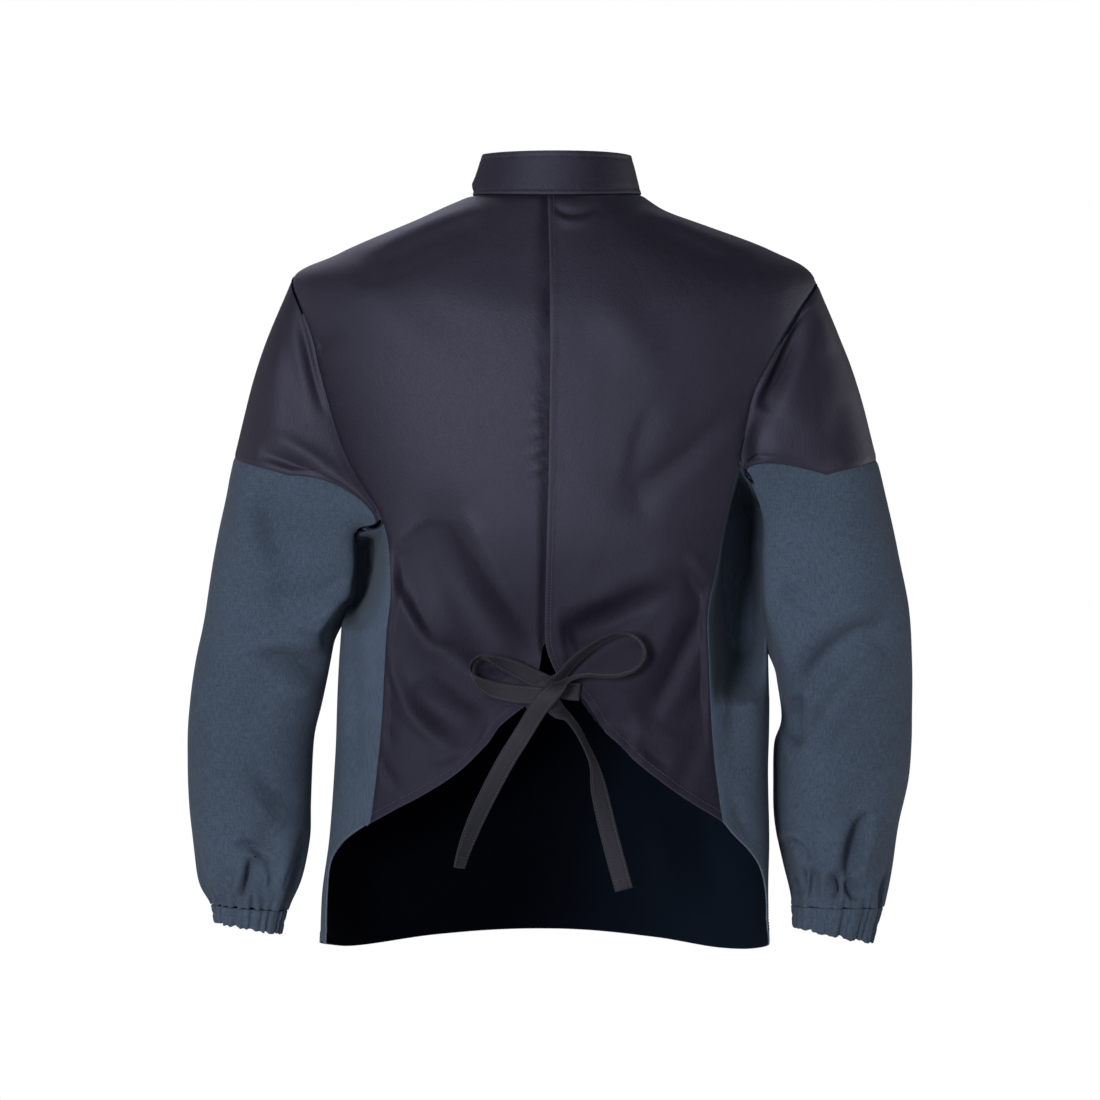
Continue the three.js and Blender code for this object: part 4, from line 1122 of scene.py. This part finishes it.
# Uneven grooves round a gathered edge, 1 at the bottom of the deepest
def gatherGrooves(shares, side):
    form = cuffForm
    random = np.random.default_rng(form["seed"][side])
    count = form["grooves"]
    places = (np.arange(count) + random.uniform(-form["grooveShift"], form["grooveShift"], count)) / count
    depths = random.uniform(form["grooveLeast"], 1.0, count)
    off = (shares[:, None] - places + 0.5) % 1 - 0.5
    return (depths * bell(off * count, form["grooveWidth"])).max(1)


bindingForm = {"turns": 160, "sides": 8, "radius": 2.5, "inset": 3.3, "under": 4.0, "underReach": 2.6}


# The bound seam allowance round the inside of an armhole
def armholeBinding(side):
    form = bindingForm
    at = armholeSteps * np.arange(form["turns"]) / form["turns"]
    line = bodyPoint(armholeSpot(side, at))
    inset = form["inset"] + form["under"] * bell(at - lowestStep, form["underReach"])  # deeper under the arm
    along = unit(np.roll(line, -1, 0) - np.roll(line, 1, 0))
    inward = unit(line.mean(0) - line)
    inward = unit(inward - along * (inward * along).sum(1, keepdims=True))
    across = np.cross(along, inward)
    turn = 2 * np.pi * np.arange(form["sides"]) / form["sides"]
    points = (line + inward * inset[:, None])[:, None] + form["radius"] * (
        inward[:, None] * np.cos(turn)[:, None] + across[:, None] * np.sin(turn)[:, None])
    faces, spots = ringFaces(points), points.reshape(-1, 3)
    a, b, c = (spots[faces[:, k]] - line.mean(0) for k in range(3))
    if np.einsum("ij,ij->i", a, np.cross(b, c)).sum() < 0:
        faces = faces[:, ::-1]
    # painted shade: the binding takes the near-black inner finish so it reads as the shade in the armhole seam gap
    piece = newMesh(f"cloth_armhole_binding_{side}", spots, faces, [spots[face][:, [1, 2]] * mm for face in faces],
                    finishes["lining_blue_grey_cloth"])
    return piece


def sleeve(side):
    form, sections = sleeveForm, sleeveForm["sections"][side]
    shares = 0.5 + np.arange(form["columns"]) / form["columns"]  # from the underarm over the front
    rings = [sectionPoints(row, shares, row[8] * pleat(shares, form["gathers"])) for row in sections]
    armholeSpots = armholeSpot(side, armholeSteps * (shares % 1))
    armhole, armholeNormals = bodyPoint(armholeSpots), bodyNormals(armholeSpots)
    away = unit(rings[0] - sectionPoints(sections[0], shares + 0.5))
    outward, backward, innerBack = sleeveWays(shares)
    rings[0] = rings[0] + (armhole - rings[0]) * (form["seamPull"] * innerBack)[:, None]
    cap = (armhole + rings[0]) / 2 + away * (form["capBulge"][side] * (1 + pleat(shares, 1)) / 2)[:, None]
    controls = np.stack([armhole, cap] + rings)
    capEnd, last, fine = 2, len(controls) - 1, form["fineCells"]
    at = joinedSteps([0, capEnd, form["capCells"], fine, fine],
                     [capEnd, last, form["sectionCells"] * (last - capEnd), fine, fine])
    points = throughPoints(controls, at)
    width, *zone = form["touch"][side]
    touch = width * zoneBetween(-points[..., 2], *zone)
    points[..., 0] -= sides[side] * touch * np.maximum(-outward, 0) * smoothStep(-backward, *form["touchBack"])
    lift = foldLift(points[..., 0], points[..., 2]) * np.maximum(np.sin(2 * np.pi * shares), 0)
    points[..., 1] -= lift * smoothStep(at, 0, form["foldEase"])[:, None]
    mirrored = side == "right"
    split = np.nonzero(at == capEnd)[0][0]
    frontCreases = mirroredRows(form["frontCreases"]["both"], sides[side]) + form["frontCreases"][side]
    for part, rows in (("upper", slice(0, split + 1)), ("lower", slice(split, None))):
        own, isUpper, grid = form[part][side], part == "upper", points[rows]
        normals = gridNormals(grid, True, mirrored)
        x, z, facing = grid[..., 0], grid[..., 2], normals[..., 1] * form["facing"]
        lift = creaseLift(x, z, own["creases"], form[part + "Relief"]) * np.clip(-facing, 0, 1)
        lift += creaseLift(x, z, frontCreases) * np.clip(facing, 0, 1)
        lift += wrinkles(grid, form["seed"][side], *form["wrinkles"])
        topGap, _ = nearLine(grid, closedLine(grid[0]))
        endGap, _ = nearLine(grid, closedLine(grid[-1]))
        innerGap, _ = nearLine(grid, grid[:, 0])
        lift = lift * seamFade(topGap) * (seamFade(endGap) if isUpper else smoothStep(endGap, 0, form["endFade"]))
        lift += seamTuck(innerGap) * form["innerTuck"] * seamFade(topGap)
        moved = grid.copy()
        if isUpper:
            moved += armholeNormals * seamTuck(topGap)[..., None]
            lift += seamTuck(endGap)
        else:
            lift += seamTuck(topGap)
            groove = gatherGrooves(shares, side)
            reach, more = form["grooveReach"]
            lift += (form["puff"] - form["grooveDepth"] * groove) * bell(endGap, reach + more * groove)
        moved += normals * lift[..., None]
        name = f"sleeve_{part}_{side}"
        piece = clothPiece("cloth_" + name, [tubeGrid(moved, mirrored)], form["wall"], name,
                           "navy_satin" if isUpper else "blue_grey_cloth")
        if isUpper:
            armholeBinding(side)


for side in sides:
    sleeve(side)


def cuff(side):
    form, wrist = cuffForm, sleeveForm["sections"][side][-1]
    shares = 0.5 + np.arange(form["columns"]) / form["columns"]
    ridge = form["ridge"] - gatherGrooves(shares, side)
    frill = softNoise(shares * form["frills"], shares * 0 + 0.5, form["seed"][side])
    rows = []
    for fall in np.linspace(0, 1, form["rows"]):
        swell = (form["top"] + (form["bottom"] - form["top"]) * fall) * ridge + form["frill"] * fall * frill
        swell = swell - form["waist"] * bell(fall - form["waistAt"], form["waistWidth"])
        upper, lower = sectionPoints(wrist, shares, swell), sectionPoints(form["ends"][side], shares, swell)
        row = upper + (lower - upper) * fall
        row[:, 2] -= form["gap"] * (1 - fall) + fall * (form["scallop"] * ridge + form["frillDrop"] * frill)
        rows.append(row)
    points = np.stack(rows)
    mirrored, waist = side == "right", form["rows"] // 2
    normals = gridNormals(points, True, mirrored)
    name = f"cuff_{side}"
    piece = clothPiece("cloth_" + name, [tubeGrid(points, mirrored)], form["wall"], name, "blue_grey_cloth")
    runs = [(closedLine(points[waist]), closedLine(normals[waist]))]
    stitches = stitchPiece(f"stitches_{name}", runs, finishes["blueThread"])


for side in sides:
    cuff(side)

collarForm = {
    "wall": 3.0, "gap": 0.7, "lean": 10, "topBack": 40, "topFront": -17,
    "tabTurn": -72, "underTurn": 372, "lift": 4.8, "fullTurn": 15, "noneTurn": 70,
    "cornerBottom": 10, "cornerTop": 5, "flat": (0.62, 0.05), "area": 0.0256,
    "columns": [300, 8, 2], "rows": [0, 1, 18, 2, 2], "wrinkles": [71, 0.8, 0.3], "edgeFade": [1, 12],
    "stitchGap": 4.5, "stitchPucker": [72, 0.3], "stitchEnds": 5,
    "band": {
        "rise": 0.35, "level": -0.4, "end": 1.4, "groove": 0.55, "grooveAt": 0, "grooveWidth": 1.0,
        "ripplePitch": 7, "rippleAt": 0, "rippleReach": 5, "rippleRow": 0, "rippleShift": 3,
    },
}


# The neck seam at some turns, and the middle of the neck at its height
def neckRing(turn):
    base = bodyPoint(np.stack([turn, np.full(turn.shape, coatForm["neckDrop"])], -1))
    return base, np.stack([np.full(turn.shape, coatForm["rings"][0][1]), 0 * turn, base[:, 2]], -1)


def collar():
    form = collarForm
    turn = steps(form["tabTurn"], form["underTurn"], *form["columns"])
    base, middle = neckRing(turn)
    outward = base - middle
    radius = np.linalg.norm(outward, axis=1)
    lift = form["lift"] * (1 - smoothStep(turn, form["fullTurn"], form["noneTurn"]))
    ahead = np.maximum(-np.cos(np.radians(turn)), 0)
    top = form["topBack"] + (form["topFront"] - form["topBack"]) * ahead ** 2
    fromEnd = lengthsAlong(base)
    corner = lambda size: size - np.sqrt(np.maximum(size ** 2 - np.maximum(size - fromEnd, 0) ** 2, 0))
    bottom = base[:, 2] + form["gap"] + corner(form["cornerBottom"])
    top = top - corner(form["cornerTop"])
    rows = []
    for share in 1 - steps(*form["rows"]):
        reach = radius + lift - form["lean"] * share
        ring = middle + unit(outward) * reach[:, None]
        ring[:, 2] = bottom + (top - bottom) * share
        rows.append(ring)
    points = np.stack(rows)
    normals = gridNormals(points)
    (topGap, along), (bottomGap, _), (endGap, _) = (
        nearLine(points, edge) for edge in (points[0], points[-1], points[:, 0]))
    nearest = np.minimum(np.minimum(topGap, bottomGap), endGap)
    lift = wrinkles(points, *form["wrinkles"]) * smoothStep(nearest, *form["edgeFade"])
    lift += hemBand(nearest, along, form["stitchGap"], *form["stitchPucker"], form["band"])
    points = points + normals * lift[..., None]
    normals = gridNormals(points)
    grid = {"points": points, "uv": clothUv(points), "hem": nearest}
    piece = clothPiece("cloth_collar", [grid], form["wall"], "collar", "navy_satin")
    gap, inner = form["stitchGap"], slice(form["stitchEnds"], -form["stitchEnds"])
    runs = [stitchLine(points, normals, topGap, gap, 0), stitchLine(points, normals, bottomGap, gap, 0, True),
            stitchLine(points[inner], normals[inner], endGap[inner], gap, 1)]
    stitches = stitchPiece("stitches_collar", runs, finishes["navyThread"])
    facing = neckFacing()


facingForm = {
    "turns": 144, "wall": 0.9,
    "rows": [[9, 7.5], [4, 6], [1.5, 4.2], [0, 3], [-3, 2.6], [-12, 2.6]],  # height, inset
}


# The seam allowance inside the neck, which closes the view under the collar
def neckFacing():
    form = facingForm
    base, middle = neckRing(np.linspace(0, 360, form["turns"], endpoint=False))
    inward = unit(middle - base)
    rows = form["rows"] + [[height, inset + form["wall"]] for height, inset in form["rows"][::-1]]
    points = np.stack([base + inward * inset + np.array([0, 0, height]) for height, inset in rows])
    faces, spots = ringFaces(points), points.reshape(-1, 3)
    piece = newMesh("cloth_neck_facing", spots, faces, [spots[face][:, [0, 2]] * mm for face in faces],
                    finishes["lining_navy_satin"])
    return piece


collar()

tieForm = {
    "width": 18, "wall": 1.8, "stitchGap": 2.4, "grooveHalf": 0.09, "fine": 40, "step": 2.2, "stitchLift": 0.7,
    "endLength": 13, "endThick": 0.5, "endRamp": 1.5, "endLift": 1.4, "endReach": 0.7, "endPoints": 6,
    "left": {"flat": (0.018, 0.461), "points": [  # x, y, z and the way of the width
        [-26.5, -100.5, -502.9, -0.3, 0, 1], [-13.7, -105.8, -495, -0.45, -0.1, 1],
        [-2, -107.8, -488, -0.5, -0.15, 0.85], [9.8, -111.6, -478.2, -0.42, -0.8, 0.43],
        [23.5, -113.7, -462.5, -0.35, -0.87, 0.36], [39.1, -114.2, -449.8, -0.25, -0.93, 0.28],
        [54.7, -114.1, -440, -0.12, -0.96, 0.25], [68.4, -113.9, -435.6, 0, -1, 0.15],
        [80.2, -112.3, -437.1, 0.1, -1, 0.1], [89, -110.4, -444, 0.1, -1, 0], [92.9, -109.1, -453.8, 0.1, -1, 0],
        [90, -108.8, -463.6, 0.05, -1, -0.05], [82.2, -109.2, -471.4, 0, -1, -0.1],
        [69.4, -110.2, -476.2, 0, -1, -0.12], [53.8, -111.4, -477.2, 0, -1, -0.12],
        [37.1, -112.3, -476.2, 0, -1, -0.12], [23.5, -113.5, -478.6, 0, -1, -0.15],
        [13.7, -115.7, -482.9, 0.1, -0.95, -0.3], [5.9, -118.8, -489.7, 0.5, -0.6, -0.6],
        [-2.9, -118.6, -498.5, 0.8, -0.2, -0.55], [-11.7, -114.7, -509.4, 0.86, 0, -0.5],
        [-27.4, -106.5, -535.1, 0.85, 0, -0.53], [-46, -107, -565.4, 0.85, 0.1, -0.5],
        [-68.5, -104, -609.6, 0.8, 0.35, -0.42], [-82.3, -102, -643, 0.7, 0.65, -0.32],
        [-89.2, -101, -665.6, 0.5, 0.85, -0.2],
    ]},
    "right": {"flat": (0.018, 0.416), "points": [
        [29.4, -101.1, -493.1, -0.1, 0, 1], [13.7, -101.7, -491.2, 0.1, 0, 1], [-2, -102.8, -485.7, 0.3, 0, 1],
        [-15.7, -104.1, -479.3, 0.4, -0.1, 1], [-29.4, -106.6, -472.4, 0.38, -0.35, 0.85],
        [-44, -109, -465.5, 0.3, -0.65, 0.7], [-56.7, -111, -460.1, 0.15, -0.9, 0.4],
        [-67.5, -111.1, -458.1, 0, -0.97, 0.2], [-74.8, -110.4, -462.5, -0.1, -0.97, 0.1],
        [-77.7, -110.1, -469.4, -0.1, -0.95, 0.15], [-75.3, -110.4, -477.2, -0.05, -0.9, 0.35],
        [-66.5, -111.3, -485, 0.05, -0.7, 0.65], [-51.8, -112.1, -491.4, 0.1, -0.35, 0.92],
        [-35.2, -112.8, -494.3, 0.1, -0.15, 1], [-19.6, -112.1, -495.7, 0.12, 0, 1],
        [-7.8, -112.2, -497.2, 0.25, 0.1, 1], [0, -110.8, -502.6, 0.6, 0.25, 0.7],
        [7.3, -107.2, -510.1, 0.75, 0.5, 0.35], [16.6, -103.7, -516.6, 0.45, 0.85, 0.1],
        [26.4, -102.1, -529.3, 0.35, 0.92, 0.1], [35.3, -100.6, -546.1, 0.3, 0.95, 0.1],
        [43.1, -104, -564.5, 0.45, 0.88, 0.1], [49, -103, -594, 0.88, 0.4, 0.2], [59.3, -102, -638.1, 1, 0.1, 0.22],
        [72.5, -101, -687.1, 1, 0, 0.25],
    ]},
}


# The outline of a strap's section, as shares of its half width and half thickness
def strapSection(form):
    half = form["width"] / 2
    groove = 1 - form["stitchGap"] / half
    top = [(1.0, 0.0), (0.985, 0.6), (0.93, 0.95), (groove + form["grooveHalf"], 1.0), (groove, 0.62),
           (groove - form["grooveHalf"], 0.9), (0.3, 0.85), (0.0, 0.85)]
    front = top + [(-w, f) for w, f in reversed(top[:-1])]
    return np.array(front + [(-w, -f) for w, f in front[1:-1]])


def tie(side):
    form, own = tieForm, tieForm[side]
    rows = np.array(own["points"], float)
    dense = throughPoints(rows, np.linspace(0, len(rows) - 1, form["fine"] * (len(rows) - 1) + 1))
    length = lengthsAlong(dense[:, :3])
    at = np.linspace(0, length[-1], int(length[-1] / form["step"]))
    read = readColumns(at, length, dense)
    middle = read[:, :3]
    along = unit(np.gradient(middle, axis=0))
    wide = unit(read[:, 3:] - along * (read[:, 3:] * along).sum(1, keepdims=True))
    face = np.cross(along, wide)
    section = strapSection(form)
    endStart = length[-1] - form["endLength"]
    thick = 1 + form["endThick"] * smoothStep(at, endStart, endStart + form["endRamp"])  # the turned end
    half, wall = form["width"] / 2, form["wall"] / 2
    points = (middle[:, None] + wide[:, None] * section[None, :, :1] * half
              + face[:, None] * section[None, :, 1:] * wall * thick[:, None, None])
    count, corners = points.shape[:2]
    index = np.arange(count * corners).reshape(count, corners)
    girth = lengthsAlong(section * [half, wall])
    girth = np.concatenate([girth, [girth[-1] + 1]])
    uv = np.stack(np.broadcast_arrays(girth[None, :], at[:, None]), -1) * mm
    order = [(0, 0), (0, 1), (1, 1), (1, 0)]
    faces, quads = cellsOf(np.concatenate([index, index[:, :1]], 1), order), cellsOf(uv, order)
    spots = points.reshape(-1, 3)
    caps = [list(range(corners))[::-1], list(range((count - 1) * corners, count * corners))]
    capUv = [np.stack([section[:, 0] * half, section[:, 1] * wall], -1) * mm] * 2
    allFaces = [list(quad) for quad in faces] + caps
    volume = np.einsum("ij,ij->i", spots[faces[:, 0]], np.cross(spots[faces[:, 1]], spots[faces[:, 2]])).sum()
    if volume < 0:
        allFaces = [quad[::-1] for quad in allFaces]
        quads, capUv = quads[:, ::-1], [part[::-1] for part in capUv]
    name = f"tie_{side}"
    piece = newMesh("cloth_" + name, spots, allFaces, [quads] + capUv, finishes["strap_twill"])
    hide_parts(name)
    groove, hands = half - form["stitchGap"], (-1, 1)
    runs = [(middle + wide * groove * hand + face * front * wall * form["stitchLift"], face * front)
            for hand in hands for front in hands]
    end = -1 - int(form["endLength"] / form["step"])
    reach = np.linspace(-form["endReach"], form["endReach"], form["endPoints"])[:, None]
    for front in hands:
        place = middle[end] + face[end] * front * wall * form["endLift"]
        runs.append((place + wide[end] * reach * half, np.repeat(face[end][None] * front, form["endPoints"], 0)))
    stitches = stitchPiece(f"stitches_{name}", runs, finishes["navyThread"])
    print(f"{name}: {length[-1]:.0f} mm long")


for side in sides:
    tie(side)

studio = {
    "distance": 5.0, "level": -0.354, "frameWidth": 1.1, "sensor": 36.0, "clip": 60, "aim": (0, 0, -0.3),
    "sky": 0.075, "backdrop": 1.0, "floor": -1.45, "floorRadius": 3.0, "floorSides": 96,
    "floorDark": rgb(0.80, 0.80, 0.80), "floorLight": rgb(0.86, 0.86, 0.86), "floorRoughness": 0.8,
    "lights": {  # place, size, power and tint
        "key_light": [(-1.6, -4.5, -0.1), 1.0, 148.0, white],
        "top_light": [(-2.3, -3.6, 1.9), 0.8, 42.0, white],
        "fill_light": [(1.6, -4.6, -0.4), 1.6, 20.0, white],
        "rim_light": [(-0.8, 2.6, 2.2), 2.4, 42.0, (0.84, 0.82, 1)],
        "side_light_left": [(-2.6, 0.9, -0.3), 1.6, 9.0, white],
        "side_light_right": [(2.6, 0.9, -0.3), 1.6, 24.0, white],
    },
}


def dressStudio():
    bpy.ops.object.select_all(action="DESELECT")
    bpy.ops.object.camera_add(location=(0, -studio["distance"], studio["level"]), rotation=(math.pi / 2, 0, 0))
    camera = bpy.context.object
    camera.data.sensor_width = studio["sensor"]
    camera.data.lens = studio["sensor"] * studio["distance"] / studio["frameWidth"]
    camera.data.clip_end = studio["clip"]
    scene = bpy.context.scene
    scene.camera = camera
    scene.view_settings.view_transform = "Standard"
    world = bpy.data.worlds.new("studio_sky")
    scene.world = world
    world.use_nodes = True
    sky, backdrop = world.node_tree.nodes["Background"], world.node_tree.nodes.new("ShaderNodeBackground")
    for shader, strength in ((sky, studio["sky"]), (backdrop, studio["backdrop"])):
        shader.inputs["Color"].default_value = rgb(*white)
        shader.inputs["Strength"].default_value = strength
    rays, blend = (world.node_tree.nodes.new(kind) for kind in ("ShaderNodeLightPath", "ShaderNodeMixShader"))
    link = world.node_tree.links.new
    link(rays.outputs["Is Camera Ray"], blend.inputs[0])
    link(sky.outputs[0], blend.inputs[1])
    link(backdrop.outputs[0], blend.inputs[2])
    link(blend.outputs[0], world.node_tree.nodes["World Output"].inputs["Surface"])
    for name, (place, size, power, tint) in studio["lights"].items():
        way = np.array(studio["aim"]) - np.array(place)
        turn = (math.acos(-way[2] / np.linalg.norm(way)), 0, math.atan2(-way[0], way[1]))
        bpy.ops.object.light_add(type="AREA", location=place, rotation=turn)
        light = bpy.context.object
        light.name = name
        light.data.size, light.data.energy, light.data.color = size, power, tint
    bpy.ops.mesh.primitive_circle_add(vertices=studio["floorSides"], radius=studio["floorRadius"], fill_type="NGON",
                                      location=(0, 0, studio["floor"]))
    floor = bpy.context.object
    floor.name = "studio_floor"
    f = Finish("studio_floor")
    tone = f.mix(f.noise(f.objectPlace(), 40.0, 2.0), studio["floorDark"], studio["floorLight"])
    floor.data.materials.append(f.finished({"Base Color": tone, "Roughness": studio["floorRoughness"]}))
    floor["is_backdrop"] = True
    print("studio dressed")


dressStudio()

({"cad": [list(map(float, corner)) for corner in cadBox],
           "visual": [list(map(float, corner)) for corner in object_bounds()]})
